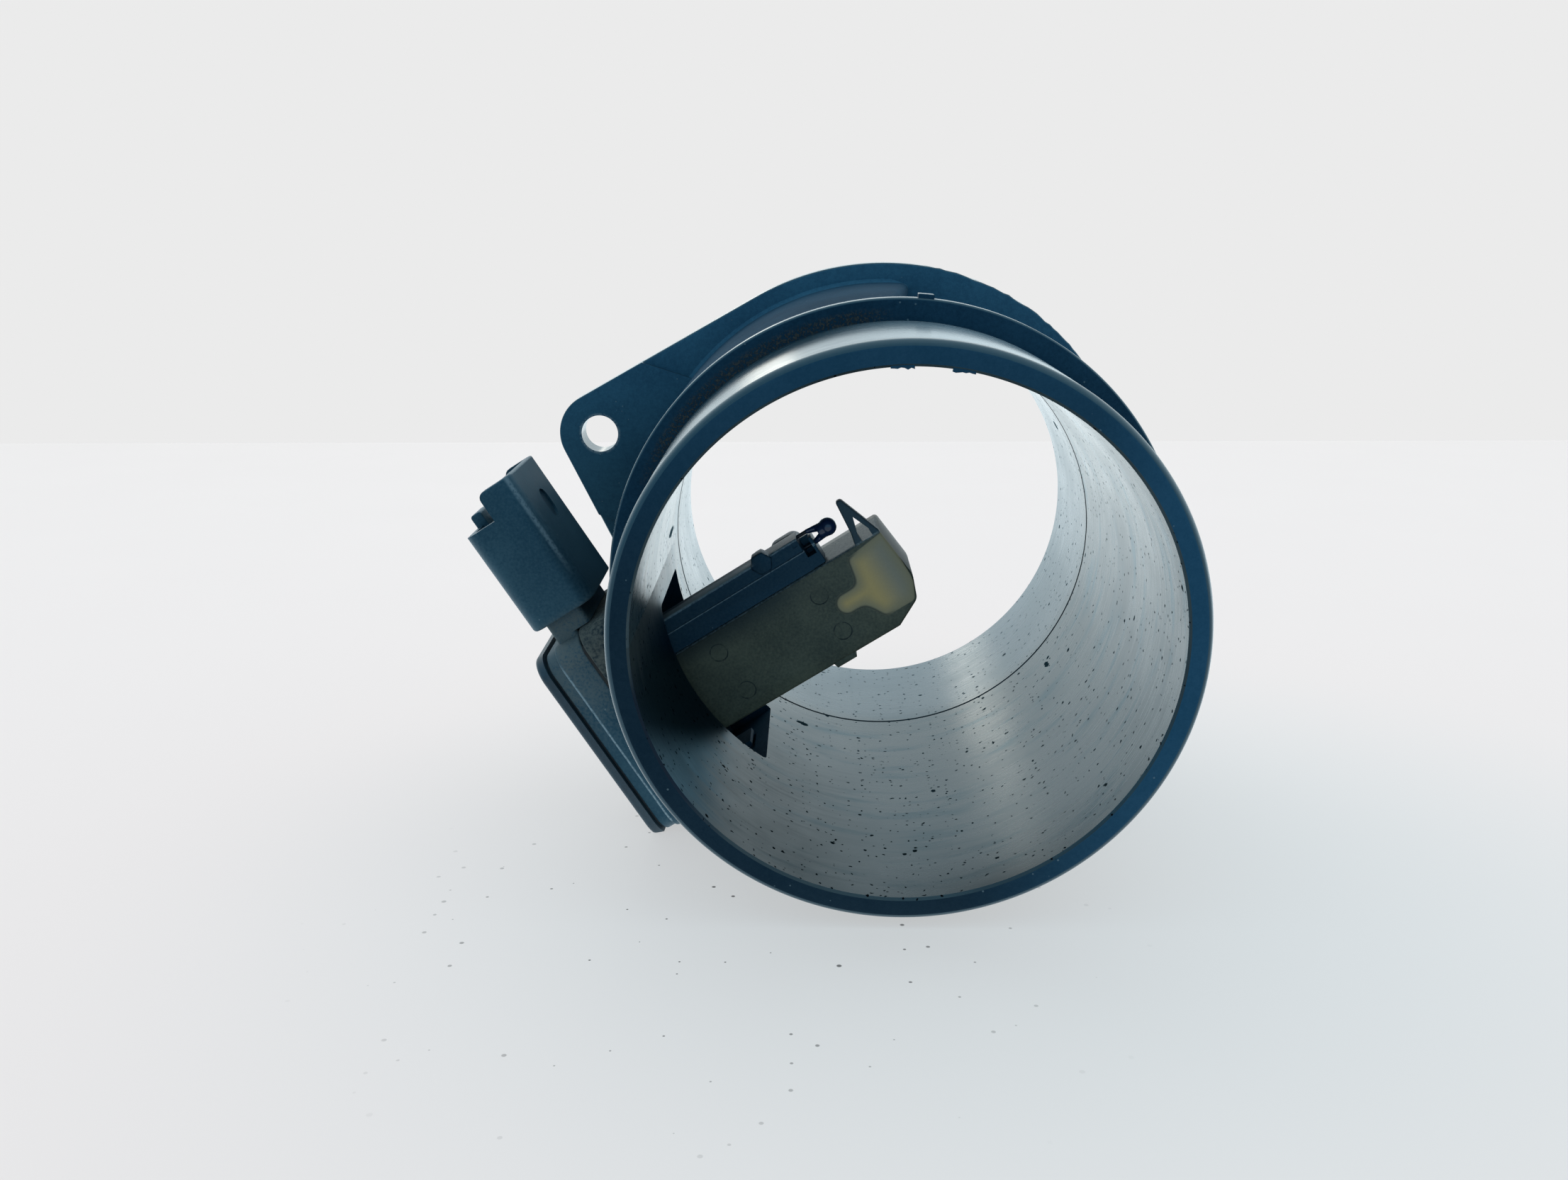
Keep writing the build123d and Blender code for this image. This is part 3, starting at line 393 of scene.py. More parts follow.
# The duct's plastic is black with a blue sheen, and matt where the mould was etched: on the
# flange, the shell and the hose end's face. Pale dust lies on it, dirt at the stop bead's foot.
duct_matt, point = surface("duct_matt")
x, y, z = point.parts()
radius, azimuth = x.reach(z), x.math("ARCTAN2", z, x)
along, _, out = point.seen_from(module)
grain = point.noise(1.6, 4, 0.6)
cloud = point.noise(0.05, 4, 0.55)
mottle = (cloud * 0.5 + grain * 0.3 + point.noise(3.5, 2, 0.7) * 0.2).rise(0.30, 0.70)
etched = mottle.blend((0.008, 0.030, 0.054), (0.018, 0.058, 0.096))

# The flange is painted lighter above and to the right and darker towards its lower left: painted
# light and shade over one plastic.
on_flange = y.rise(FLANGE_FRONT - 1.2, FLANGE_FRONT - 0.9) * (1 - y.rise(-1.0, -0.2))
flange_lit = mottle.blend((0.020, 0.068, 0.116), (0.042, 0.132, 0.200))
flange_dim = mottle.blend((0.008, 0.024, 0.036), (0.018, 0.050, 0.068))
shade = (1 - z.rise(0, 36)) * (1 - x.rise(-30, 0))
colour = on_flange.blend(etched, (shade * 0.7).blend(flange_lit, flange_dim))

on_boss = out.rise(38.0, 40.0) * y.rise(MODULE_Y - 15.0, MODULE_Y - 13.5)
on_boss = on_boss * (1 - y.rise(MODULE_Y + 13.4, MODULE_Y + 15.0))
powder = (grain * 0.6 + cloud * 0.4).rise(0.36, 0.60) * along.rise(2.0, 13.0)
colour = on_boss.blend(colour, powder.blend((0.009, 0.021, 0.031), (0.100, 0.104, 0.092)))

# The hose end's face is painted lighter towards its top and its right: a painted highlight over one
# plastic.
on_end = 1 - y.rise(HOSE_END + 0.1, HOSE_END + 0.6)
end_dim = mottle.blend((0.006, 0.018, 0.030), (0.014, 0.030, 0.044))
end_lit = mottle.blend((0.014, 0.062, 0.110), (0.026, 0.086, 0.145))
colour = on_end.blend(colour, (z.rise(0, 42) * 0.7).most(x.rise(5, 38)).blend(end_dim, end_lit))

foot = (1 - radius.rise(HOSE_R + 1.0, BEAD_R - 1.0)) * y.rise(BEAD_FRONT - 0.6, BEAD_FRONT - 0.3)
foot = foot * (1 - y.rise(BEAD_FRONT + 0.1, BEAD_FRONT + 0.5))
dirty = foot * azimuth.rise(1.55, 1.75) * (1 - azimuth.rise(2.5, 2.8))
dirty = dirty * point.noise(3.0, 4, 0.8).rise(0.46, 0.58)
colour = (dirty * 0.65).blend(colour, (0.11, 0.085, 0.055))
dust = point.specks(0.9, 0.13, 0.16)
colour = (dust * 0.35).blend(colour, (0.25, 0.32, 0.34))

ear_along = abs(x * math.cos(EAR_AZIMUTH) + z * math.sin(EAR_AZIMUTH)) - EAR_REACH
ear_across = z * math.cos(EAR_AZIMUTH) - x * math.sin(EAR_AZIMUTH)
hole = 1 - ear_along.reach(ear_across).rise(SCREW_R + 0.05, SCREW_R + 0.6)
crumbs = hole * y.rise(FLANGE_FRONT - 1.0, FLANGE_FRONT - 0.6)
crumbs = crumbs * (point.noise(1.6, 4, 0.7).rise(0.40, 0.52) * 0.8 + 0.1)
colour = crumbs.blend(colour, (0.34, 0.37, 0.37))
finish(duct_matt, colour, 0.98 - (on_flange * 0.24).most(on_end * 0.34),
       grain + dirty * 2.0 + dust * 1.5, 0.00003, IOR=1.22, Specular_Tint=(0.25, 0.62, 1.0, 1))

# The polished mould left the bore, the hose's seat, the bead's crown and the flange's rim smooth,
# so they mirror the studio at a glance. The bore carries a dust film, black specks and chips.
WALL_R, WANDER = 36.5, 0.9
duct_smooth, point = surface("duct_smooth")
x, y, z = point.parts()
radius, azimuth = x.reach(z), x.math("ARCTAN2", z, x)
inside = 1 - radius.rise(BORE_R + 0.4, BORE_R + 0.65)
grain = point.noise(1.6, 4, 0.6)
cloud = point.noise(0.06, 5, 0.6)

# The bore's wall is unrolled, so that strokes run round it and specks are round on it.
wall = point.node("ShaderNodeCombineXYZ", None, {0: azimuth * WALL_R, 1: y, 2: 0.0})
wobble = point.node("ShaderNodeTexNoise", None, {"Vector": point, "Scale": 1.3, "Detail": 3.0}, 1)
rough_wall = wall.node("ShaderNodeVectorMath", {"operation": "MULTIPLY_ADD"},
                       {0: wobble, 1: (WANDER, WANDER, 0.0), 2: wall})
strokes = wall.noise(1.0, 5, 0.65, stretch=(0.05, 1.6, 1.0))
scuffs = wall.noise(1.0, 4, 0.7, stretch=(0.16, 3.5, 1.0)).rise(0.60, 0.72)
speck = rough_wall.specks(0.42, 0.085, 0.45, True).most(rough_wall.specks(0.16, 0.055, 0.45, True))
speck = speck.most(rough_wall.specks(0.8, 0.14, 0.20, True))
round_place, bore_place, _ = rough_wall.parts()
for chip_azimuth, place, half_width, half_length in (
    (-37.3, -21.3, 0.50, 1.3), (-112.9, -20.6, 1.25, 0.7), (175.7, -24.4, 0.75, 3.6),
    (28.0, -1.1, 0.9, 1.4), (-85.6, -63.9, 0.30, 0.45), (-96.0, -30.0, 0.25, 0.4),
    (-60.0, -34.0, 0.2, 0.6),
):
    turn = (round_place - math.radians(chip_azimuth) * WALL_R - WANDER / 2) / half_width
    way = (bore_place - place - WANDER / 2) / half_length
    speck = speck.most(1 - turn.squares(way).rise(0.7, 1.1))
speck = speck * inside

film = (cloud * 0.65 + strokes * 0.35).rise(0.30, 0.70)
bore_colour = film.blend((0.008, 0.016, 0.020), (0.030, 0.050, 0.056))
# The wall low and to the left, beside the blade, is painted dark: painted shade of the blade.
# Brownish scratches lie in it, and it is rougher.
shaded_wall = (1 - azimuth.rise(-2.15, -1.45)) * (1 - y.rise(MODULE_Y - 13, MODULE_Y + 22)) * inside
bore_colour = (shaded_wall * 0.7).blend(bore_colour, (0.010, 0.014, 0.015))
bore_colour = (scuffs * shaded_wall * 0.6).blend(bore_colour, (0.11, 0.105, 0.090))
# In front of the module the wall's left side is painted dark blue and made partly metallic, so that
# it mirrors little: painted shade.
reached = azimuth + (strokes - 0.5) * 0.5
dark_zone_shade = reached.rise(-3.10, -2.92) * (1 - reached.rise(-2.55, -2.25))
dark_zone_shade = dark_zone_shade * (1 - y.rise(MODULE_Y - 10, MODULE_Y + 8)) * inside
bore_colour = (dark_zone_shade * 0.9).blend(bore_colour, (0.012, 0.020, 0.034))
# Behind the waist the bore is painted a lighter blue: painted light in the far bore.
lit_far_bore = y.rise(WAIST - 1.2, WAIST + 4.8) * 0.75
bore_colour = lit_far_bore.blend(bore_colour, (0.070, 0.125, 0.165))
bore_colour = speck.blend(bore_colour, (0.001, 0.001, 0.002))
smear = wall.noise(1.0, 5, 0.65, stretch=(0.05, 0.28, 1.0)).rise(0.50, 0.68)
smear = smear * (1 - y.rise(WAIST - 3.2, WAIST + 4.8)) * inside

# The seat is painted pale along its top, streaked with the strokes: a painted sheen where it
# catches the light.
seat_colour = (strokes * 0.6 + grain * 0.4).blend((0.012, 0.034, 0.050), (0.030, 0.066, 0.086))
seat_sheen = azimuth.rise(0.15, 0.75) * (1 - azimuth.rise(1.35, 1.95))
seat_sheen = seat_sheen * y.rise(HOSE_END + 1.2, HOSE_END + 3.0)
seat_sheen = seat_sheen * (1 - y.rise(BEAD_FRONT - 1.0, BEAD_FRONT)) * (strokes.rise(0.25, 0.6) * 0.3 + 0.7)
seat_colour = seat_sheen.blend(seat_colour, (0.190, 0.250, 0.285))

polish = 0.23 + film * 0.10 + (strokes - 0.5) * 0.08 + scuffs * 0.04 + shaded_wall * 0.16
finish(duct_smooth, inside.blend(seat_colour, bore_colour),
       polish + speck * 0.5 - (1 - inside) * 0.03,
       strokes * 0.1 + scuffs * 0.15 + grain * 0.1, 0.000008,
       Metallic=speck.most(dark_zone_shade * 0.9).most(smear * 0.30),
       IOR=1.6, Specular_Tint=(0.62, 0.87, 1.0, 1))


def polished(centre, normal):
    """Whether the polished half of the mould made a face."""
    radius = math.hypot(centre.x, centre.z)
    bore_wall = radius < BORE_R + 0.7 and abs(normal.y) < 0.9
    hose_seat = radius > BARREL_R - 0.1 and centre.y < BEAD_FRONT - 0.05 and normal.y > -0.98
    bead_crown = (radius > BEAD_R - 0.5 and BEAD_FRONT - 0.1 < centre.y < BEAD_BACK + 0.1
                  and abs(normal.y) < 0.9)
    flange_rim = (radius > FLANGE_R - 1.2 and FLANGE_FRONT - 0.9 < centre.y < 0.05
                  and abs(normal.y) < 0.95)
    return bore_wall or hose_seat or bead_crown or flange_rim


dress(housing, duct_matt, "housing_plastic", "tube_housing")
housing.data.materials.append(duct_smooth)
for face in housing.data.polygons:
    if polished(face.center * 1000, face.normal):
        face.material_index = 1


# Seals: a square rubber ring in the spigot's groove, and a thin flat rubber gasket that the module
# presses on its boss. Like each piece whose CAD form is right, they only get their own finish.
def keep_form(name, dark, light, rough, scale, nodes, metal=0.0):
    """Give CAD nodes a finish of two mottled colours."""
    material, point = surface(name)
    grain = point.noise(scale, 4, 0.6)
    cloud = point.noise(scale * 0.1, 3, 0.5)
    finish(material, (grain * 0.5 + cloud * 0.5).rise(0.3, 0.7).blend(dark, light),
           rough + (grain - 0.5) * 0.16, grain, 0.00002, Metallic=metal, IOR=1.5)
    for node in nodes:
        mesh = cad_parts[node].data
        mesh.materials.clear()
        mesh.materials.append(material)


keep_form("seal_rubber", (0.004, 0.004, 0.004), (0.009, 0.009, 0.009), rough=0.62, scale=3.0,
          nodes=["spigot_seal"])
keep_form("gasket_rubber", (0.005, 0.005, 0.005), (0.010, 0.010, 0.010), rough=0.7, scale=3.0,
          nodes=["module_gasket"])

# Sensor body: one dark moulding with the electronics tray, the neck and shroud of the connector,
# the plug that fills the duct's window, two snap hooks, and the rail that carries the wires. The
# hooks catch in the pockets of the boss. Its blocks are given along the module frame's axes.
TRAY_BOTTOM, TRAY_STEP, TRAY_TOP, PLUG_BOTTOM = 47.4, 52.2, 54.0, 41.0
SHROUD_ROOT, SHROUD_NOTCH, SHROUD_MOUTH, SHROUD_BASE, SHROUD_TOP = 22.0, 40.4, 45.2, 41.6, 53.5
HOOK_HALF, HOOK_IN, HOOK_OUT, HOOK_NOSE, HOOK_END = 3, 14.03, 15.23, 16.23, 35.8
BAR_TOP, BAR_FRONT, BAR_SEAM, WEB_FRONT = 12.52, -7.7, 10.02, -7.1
TRAY_HOLLOW = (-16.1, -10.5, 49.2), (16.1, 10.5, 57)
RECESS = (34.9, -2.2, 41.0), (40.2, 1.6, 42.0)
LUG = Vector((12.02, -6.85, 16.6))


def prism(points, low, high, rounds=(), rim=(0, 0)):
    """Plate across the bore from (out, along) points, with rounded corners and rims."""
    bm = bmesh.new()
    corners = [bm.verts.new((along, low, out)) for out, along in points]
    bm.faces.new(corners)
    for index, radius in rounds:
        bmesh.ops.bevel(bm, geom=[corners[index]], offset=radius, affect="VERTICES", segments=5,
                        profile=0.5, material=-1)
    push(bm, bm.faces[:], (0, high - low, 0))
    bmesh.ops.recalc_face_normals(bm, faces=bm.faces)
    for side, rounding in ((low, rim[0]), (high, rim[1])):
        if rounding:
            edges = [e for e in bm.edges if all(abs(v.co.y - side) < 1e-4 for v in e.verts)]
            bmesh.ops.bevel(bm, geom=edges, offset=rounding, affect="EDGES", segments=3,
                            profile=0.5, material=-1)
    return solid(bm, "prism", module)


body = block((-18.25, -12.65, TRAY_BOTTOM), (18.25, 12.65, TRAY_STEP), corner=3.8, rim=0.3)
body.name = "module_body"
shroud = block((SHROUD_ROOT, -10.8, SHROUD_BASE), (SHROUD_MOUTH, 9.2, SHROUD_TOP), corner=2.6,
               along=0, rim=0.35)
carve(shroud, "INTERSECT", prism(
    [(SHROUD_BASE, SHROUD_ROOT), (SHROUD_TOP, SHROUD_ROOT), (SHROUD_TOP, SHROUD_NOTCH),
     (47.55, SHROUD_NOTCH), (47.55, SHROUD_MOUTH), (SHROUD_BASE, SHROUD_MOUTH)], -12, 11,
    rounds=((1, 1.2), (2, 0.3), (4, 1.2), (5, 0.4))))

upper_wall = block((-17.8, -12.2, 50), (17.8, 12.2, TRAY_TOP), corner=3.35, rim=0.2)
neck = block((14.45, -9.3, TRAY_BOTTOM + 0.01), (23.0, 7.7, 51.3), corner=0.7, along=0)
neck_drop = block((18.92, -9.3, 44.7), (23.0, 7.7, 51.3), corner=0.7, along=0)
plug = block((-15.23, -11.28, PLUG_BOTTOM), (15.23, 11.28, 48), corner=0.68)
rail_bar = block((BAR_SEAM, BAR_FRONT, 9.9), (BAR_TOP, -2.3, 48), corner=0.35, rim=0.15)
rail_web = block((6.62, WEB_FRONT, 9.9), (10.1, -2.9, 39.7), rim=0.15)
rail_root = block((7.92, WEB_FRONT, 39), (10.1, -2.9, 48))
wire_clip = block((6.62, WEB_FRONT, 7.8), (11.52, -2.9, 10.3), corner=0.35, along=1, rim=0.15)
ridge = block((6.62, -2.4, 9.8), (BAR_TOP, 0.3, 15.4), corner=1.6, along=1, rim=0.3)
peg = block((11.7, -5.5, 16.0), (13.32, -3.7, 17.2), rim=0.15)
hexagon = bmesh.new()
bmesh.ops.create_cone(hexagon, cap_ends=True, segments=6, radius1=1.9, radius2=1.9, depth=2.7,
                      matrix=Matrix.Translation(LUG) @ Matrix.Rotation(math.pi / 2, 4, "X"))
bmesh.ops.bevel(hexagon, geom=hexagon.edges, offset=0.25, affect="EDGES", segments=3, profile=0.5,
                material=-1)
lug = solid(hexagon, "lug", module)
carve(body, "UNION", upper_wall, neck, neck_drop, shroud, plug, rail_bar, rail_web, rail_root,
      wire_clip, ridge, peg, lug)

shroud_hollow = block((25.0, -9.2, 43.2), (50, 7.6, 51.9), corner=1.0, along=0)
clip_pocket = block((8.72, -7.3, 8.3), (11.8, -4.3, 9.9))
bar_recess = block((11.3, -7.8, 10.2), (12.2, -7.55, 11.0))
plug_hollow = block((-13.73, -9.78, 38), (13.73, 9.78, TRAY_BOTTOM))
carve(body, "DIFFERENCE", shroud_hollow, block(*RECESS, corner=1.85), clip_pocket, bar_recess,
      block(*TRAY_HOLLOW, corner=1.65), plug_hollow)

latch = block((39.4, -3.8, 50.9), (42.6, 2.2, 52.9), corner=0.5, along=1, rim=0.2)
blade_socket = block((-10.0, -8.8, PLUG_BOTTOM), (7.8, 7.2, 48))
hooks = [prism([(48, side * HOOK_IN), (HOOK_END, side * HOOK_IN),
                (HOOK_END, side * (HOOK_IN + 0.7)), (HOOK_END + 1.6, side * HOOK_NOSE),
                (HOOK_END + 2.6, side * HOOK_OUT), (48, side * HOOK_OUT)],
               -HOOK_HALF, HOOK_HALF, rim=(0.15, 0.15)) for side in (-1, 1)]
carve(body, "UNION", latch, blade_socket, *hooks)
socket_hollow = block((-8.82, -7.62, 38), (6.62, 6.02, 44.2))
carrier_slot = block((-2.67, -1.97, 42), (0.57, -0.93, 51))
carve(body, "DIFFERENCE", socket_hollow, carrier_slot, block(*TRAY_HOLLOW, corner=1.65))

module_plastic, point = surface("module_plastic")
along, over, out = point.seen_from(module)
grain = point.noise(2.2, 4, 0.6)
cloud = point.noise(0.08, 4, 0.5)
shade = (cloud * 0.5 + grain * 0.5).rise(0.3, 0.7)
colour = shade.blend((0.013, 0.038, 0.055), (0.026, 0.072, 0.098))
inner = shade.blend((0.006, 0.022, 0.040), (0.013, 0.040, 0.066))
colour = (1 - out.rise(38.0, 40.5)).blend(colour, inner)

# Road dust lies on the neck and the tray beside it, with single pale specks everywhere.
on_neck = (1 - along.rise(20.5, 23.5)) * (1 - out.rise(51.5, 52.5))
on_neck = on_neck * out.rise(40.0, 43.0) * along.rise(12.0, 15.0)
beside = along.rise(-4.0, 12.0) * (1 - along.rise(19.0, 21.0)) * out.rise(40.0, 44.0)
powder = on_neck.most(beside * 0.7)
dust = (powder * 0.9 + 0.12) * (cloud * 0.4 + grain * 0.6).rise(0.36, 0.60)
specks = point.specks(0.7, 0.12, 0.15)
colour = (dust * 0.75).blend(colour, (0.135, 0.138, 0.122))
colour = (specks * 0.3).blend(colour, (0.28, 0.34, 0.36))

# The shroud's long edge, the bar's front edges and the tray's step get painted highlights: pale,
# broken lines where the edges catch the light. A painted highlight runs along the bar's top, and
# the shroud's oval recess gets painted shade.
broken_glint = grain.rise(0.35, 0.55) * 0.6 + 0.4
shroud_edge = (out - (SHROUD_BASE + 0.3)).squares(over + 10.4)
shroud_edge = (1 - shroud_edge.rise(0.15, 0.8)) * along.rise(26.0, 33.0) * broken_glint
bar_edge = (along - (BAR_TOP - 0.07)).squares(over - (BAR_FRONT + 0.05))
seam = (along - (BAR_SEAM + 0.04)).squares(over - (WEB_FRONT - 0.05))
lines = (1 - bar_edge.rise(0.03, 0.12)).most(1 - seam.rise(0.02, 0.10))
lines = lines * (1 - out.rise(34.0, 38.0))
step = (out - TRAY_STEP + 0.1).squares(over + 12.5)
lines = lines.most((1 - step.rise(0.04, 0.16)) * (1 - along.rise(13.0, 17.0)))
recess_along = along - (RECESS[0][0] + RECESS[1][0]) / 2
recess_over = over - (RECESS[0][1] + RECESS[1][1]) / 2
recess_shade = recess_along * recess_along / 7.0 + recess_over * recess_over / 3.6
recess_shade = (1 - recess_shade.rise(0.8, 1.2)) * (1 - out.rise(42.2, 42.6)) * out.rise(41.0, 41.5)
bar_top_glint = along.rise(BAR_TOP - 0.22, BAR_TOP - 0.07) * out.rise(17.5, 19.0)
bar_top_glint = bar_top_glint * (1 - out.rise(33.0, 37.0)) * (1 - over.rise(-5.0, -3.8))
colour = (recess_shade * 0.75).blend(colour, (0.006, 0.018, 0.028))
colour = (shroud_edge * 0.55).most(lines * broken_glint * 0.85).blend(colour, (0.28, 0.35, 0.38))
colour = (bar_top_glint * 0.8).blend(colour, (0.42, 0.48, 0.50))
finish(module_plastic, colour, 0.44 + dust * 0.3 + grain * 0.08, grain + specks, 0.00003,
       IOR=1.5, Specular_Tint=(0.25, 0.65, 1.0, 1))
dress(body, module_plastic, "module_plastic", "sensor_body")

# Terminals: six bright cranked blades of stamped metal, moulded into the body's neck.
# They keep their CAD form.
keep_form("terminal_metal", (0.55, 0.54, 0.50), (0.66, 0.65, 0.62), rough=0.28, scale=1.5,
          metal=1.0, nodes=[f"terminal_{number}" for number in range(1, 7)])

# Bypass housing: the blade's front shell, moulded in a smoky olive plastic with the guard at its
# tip, and pressed into the body's socket. Its front wall is thin over the tip chamber, where
# daylight from the inlet shines through it: that glow is painted on as emission, with a painted
# dark rim round it.
ROOT, FRONT, SPLIT, BACK, BLADE_TOP, BLADE_BOTTOM = 44.2, -7.5, 3.3, 5.9, 6.5, -8.7
INNER, PIN_R, PINS = FRONT + 1.3, 1.45, ((11.7, 2.5), (11.6, -4.5), (30.2, -4.8), (30.6, 3.0))
outline = [(ROOT, BLADE_TOP), (-1.9, BLADE_TOP), (-2.75, -2.4), (-1.25, -6.3),
           (3.35, BLADE_BOTTOM), (ROOT, BLADE_BOTTOM)]
tip_rounds = ((1, 0.6), (2, 0.6), (3, 0.6))
blade = prism(outline, FRONT, SPLIT, rounds=tip_rounds, rim=(0.45, 0))
blade.name = "bypass_shell"
outlet_lip = prism([(11.7, -8.4), (12.0, -9.5), (15.6, -9.5), (15.9, -8.4)], FRONT + 0.1, SPLIT,
                   rim=(0.2, 0))
carve(blade, "UNION", outlet_lip)
tip_chamber = prism([(-0.6, 5.2), (4.55, 5.2), (5.55, 0.7), (5.55, -2.8), (3.95, -6.4),
                     (0.05, -6.4), (-1.45, -2.4)], INNER, 9, rounds=[(n, 0.6) for n in range(7)])
channel = block((-2.8, INNER, 4.5), (0.7, 9, 28.0))
return_channel = block((-7.4, INNER, 12.0), (-4.2, 9, 28.0))
channel_bend = block((-7.4, INNER, 24.8), (-1.0, 9, 28.0))
core = block((2.0, INNER, 13.4), (5.2, 9, 40.0))
outlet = block((-9.9, INNER, 12.5), (-6.0, SPLIT - 1.3, 15.1))
carrier_way = block((-2.67, -1.97, 27), (0.57, -0.93, 46))
carve(blade, "DIFFERENCE", tip_chamber, channel, return_channel, channel_bend, core, outlet,
      carrier_way)
for out, along in PINS:
    pin = bmesh.new()
    bmesh.ops.create_cone(
        pin, cap_ends=True, segments=48, radius1=PIN_R, radius2=PIN_R, depth=0.24,
        matrix=Matrix.Translation((along, FRONT, out)) @ Matrix.Rotation(math.pi / 2, 4, "X"))
    carve(blade, "DIFFERENCE", solid(pin, "pin", module))
guard = prism([(-1.9, 6.0), (-1.9, 6.8), (0.65, 14.1), (1.55, 14.1), (2.1, 8.5), (2.5, 6.8),
               (2.5, 6.0)], FRONT, FRONT + 1.5, rounds=((2, 0.35), (3, 0.35)), rim=(0.25, 0.25))
carve(guard, "DIFFERENCE",
      prism([(-0.7, 6.5), (-0.7, 7.9), (0.45, 10.7), (1.3, 7.9), (1.3, 6.5)], -9, -4))
carve(blade, "UNION", guard)

blade_plastic, point = surface("blade_plastic")
along, over, out = point.seen_from(module)
grain = point.noise(2.5, 4, 0.6)
cloud = point.noise(0.12, 4, 0.5)
front = 1 - over.rise(FRONT + 0.5, FRONT + 0.9)

# The thin wall's outline is the tip chamber's, with the start of the channel joined to it.
chamber = along + out * 0.125 - 5.96
for out_part, along_part, reach in ((0.98, 0.196, 5.78), (0.878, -0.479, 6.83), (0.0, -1.0, 6.1),
                                    (-0.894, -0.447, 3.53), (-1.0, 0.0, 2.4)):
    chamber = chamber.soft_most(out * out_part + along * along_part - reach, 0.9)
throat = (out - out.most(5.0).least(8.6)).reach(along + 0.9) - 1.85
edge = chamber.soft_least(throat, 2.2)
# The thin wall gets a painted glow, with its rim painted darker: painted light.
lit = (1 - edge.rise(-0.07, 0.07)) * front
rim = lit * edge.rise(-0.50, -0.10) * (out.rise(2.0, 5.0) * 0.9 + 0.1)

# The face is painted dark near its root and under the rail: painted shade.
rail_shade = (out.rise(24.0, 46.0) * 0.7).most(along.rise(1.5, 6.2) * out.rise(8.0, 20.0))
olive = (cloud * 0.5 + grain * 0.5).rise(0.3, 0.7)
face = olive.blend((0.074, 0.071, 0.044), (0.176, 0.164, 0.104))
face = (rail_shade * 0.75).blend(face, (0.014, 0.020, 0.020))
# The tip turns blue-grey, more on its sides than on its front face.
tip_blue_grey = (1 - out.rise(-1.3, -0.6)) * (1 - front * 0.6) * (grain.rise(0.45, 0.6) * 0.4 + 0.3)
face = tip_blue_grey.blend(face, (0.050, 0.072, 0.078))
rings = [1 - abs((out - pin_out).reach(along - pin_along) - PIN_R).rise(0.05, 0.14)
         for pin_out, pin_along in PINS]
marks = rings[0]
for ring in rings[1:]:
    marks = marks.most(ring)
marks = marks * front * point.noise(0.9, 2, 0.5).rise(0.40, 0.55)
face = (marks * 0.8).blend(face, (0.010, 0.013, 0.010))
# The blade's top face is painted pale: a painted highlight where light from behind falls on it.
lit_top = grain.rise(0.3, 0.7).blend((0.08, 0.105, 0.115), (0.26, 0.30, 0.31))
face = (along.rise(BLADE_TOP - 0.3, BLADE_TOP - 0.05) * 0.9).blend(face, lit_top)
# The guard, of the same olive plastic, is painted dark teal: painted shade.
shaded_guard = grain.blend((0.030, 0.050, 0.064), (0.060, 0.092, 0.110))
face = along.rise(BLADE_TOP + 0.1, BLADE_TOP + 0.2).blend(face, shaded_guard)
# Painted glow: emission for the daylight through the thin wall.
glow = out.rise(-1.0, 4.5).blend((0.078, 0.094, 0.086), (0.165, 0.152, 0.062))
glow = (edge + 1.2).rise(-1.2, 1.2).blend(glow, (0.080, 0.088, 0.060))
glow = (lit * (1 - rim * 0.9)).blend((0, 0, 0), glow)
finish(blade_plastic, (lit * 0.75).blend(face, (0.040, 0.042, 0.028)), 0.52 + grain * 0.08,
       grain, 0.00002, IOR=1.5, Emission_Color=glow, Emission_Strength=0.8,
       Specular_Tint=(0.5, 0.8, 1.0, 1))
dress(blade, blade_plastic, "blade_plastic", "bypass_housing")

# Bypass cover: the blade's rear plate in a darker plastic, welded on round its rim. The air inlet
# is cut through it, and it shuts the channels.
cover = prism(outline, SPLIT, BACK, rounds=tip_rounds, rim=(0, 0.6))
cover.name = "bypass_rear_cover"
inlet = block((-5.3, SPLIT - 1, -0.55), (4.1, BACK + 1, 4.65), corner=1.0, along=1)
carve(cover, "DIFFERENCE", inlet)
cover_plastic, point = surface("cover_plastic")
along, _, out = point.seen_from(module)
grain = point.noise(2.5, 4, 0.6)
face = grain.blend((0.012, 0.018, 0.016), (0.028, 0.036, 0.030))
# The cover's top face is painted pale: a painted highlight where light from behind falls on it.
lit_top = grain.blend((0.24, 0.28, 0.28), (0.46, 0.49, 0.49))
on_top = along.rise(BLADE_TOP - 0.3, BLADE_TOP - 0.05) * out.rise(0.0, 2.0)
face = (on_top * 0.9).blend(face, lit_top)
finish(cover_plastic, face, 0.46 + grain * 0.1, grain, 0.00002, IOR=1.5)
dress(cover, cover_plastic, "cover_plastic", "bypass_cover")

# Sensing element: a white ceramic carrier that reaches from the board into the channel, with the
# glassy hot film on its end. Both keep their CAD form.
keep_form("carrier_ceramic", (0.72, 0.70, 0.66), (0.80, 0.79, 0.75), rough=0.5, scale=2.0,
          nodes=["sensor_carrier"])
keep_form("film_glass", (0.02, 0.03, 0.035), (0.04, 0.06, 0.065), rough=0.12, scale=1.5,
          nodes=["hot_film"])

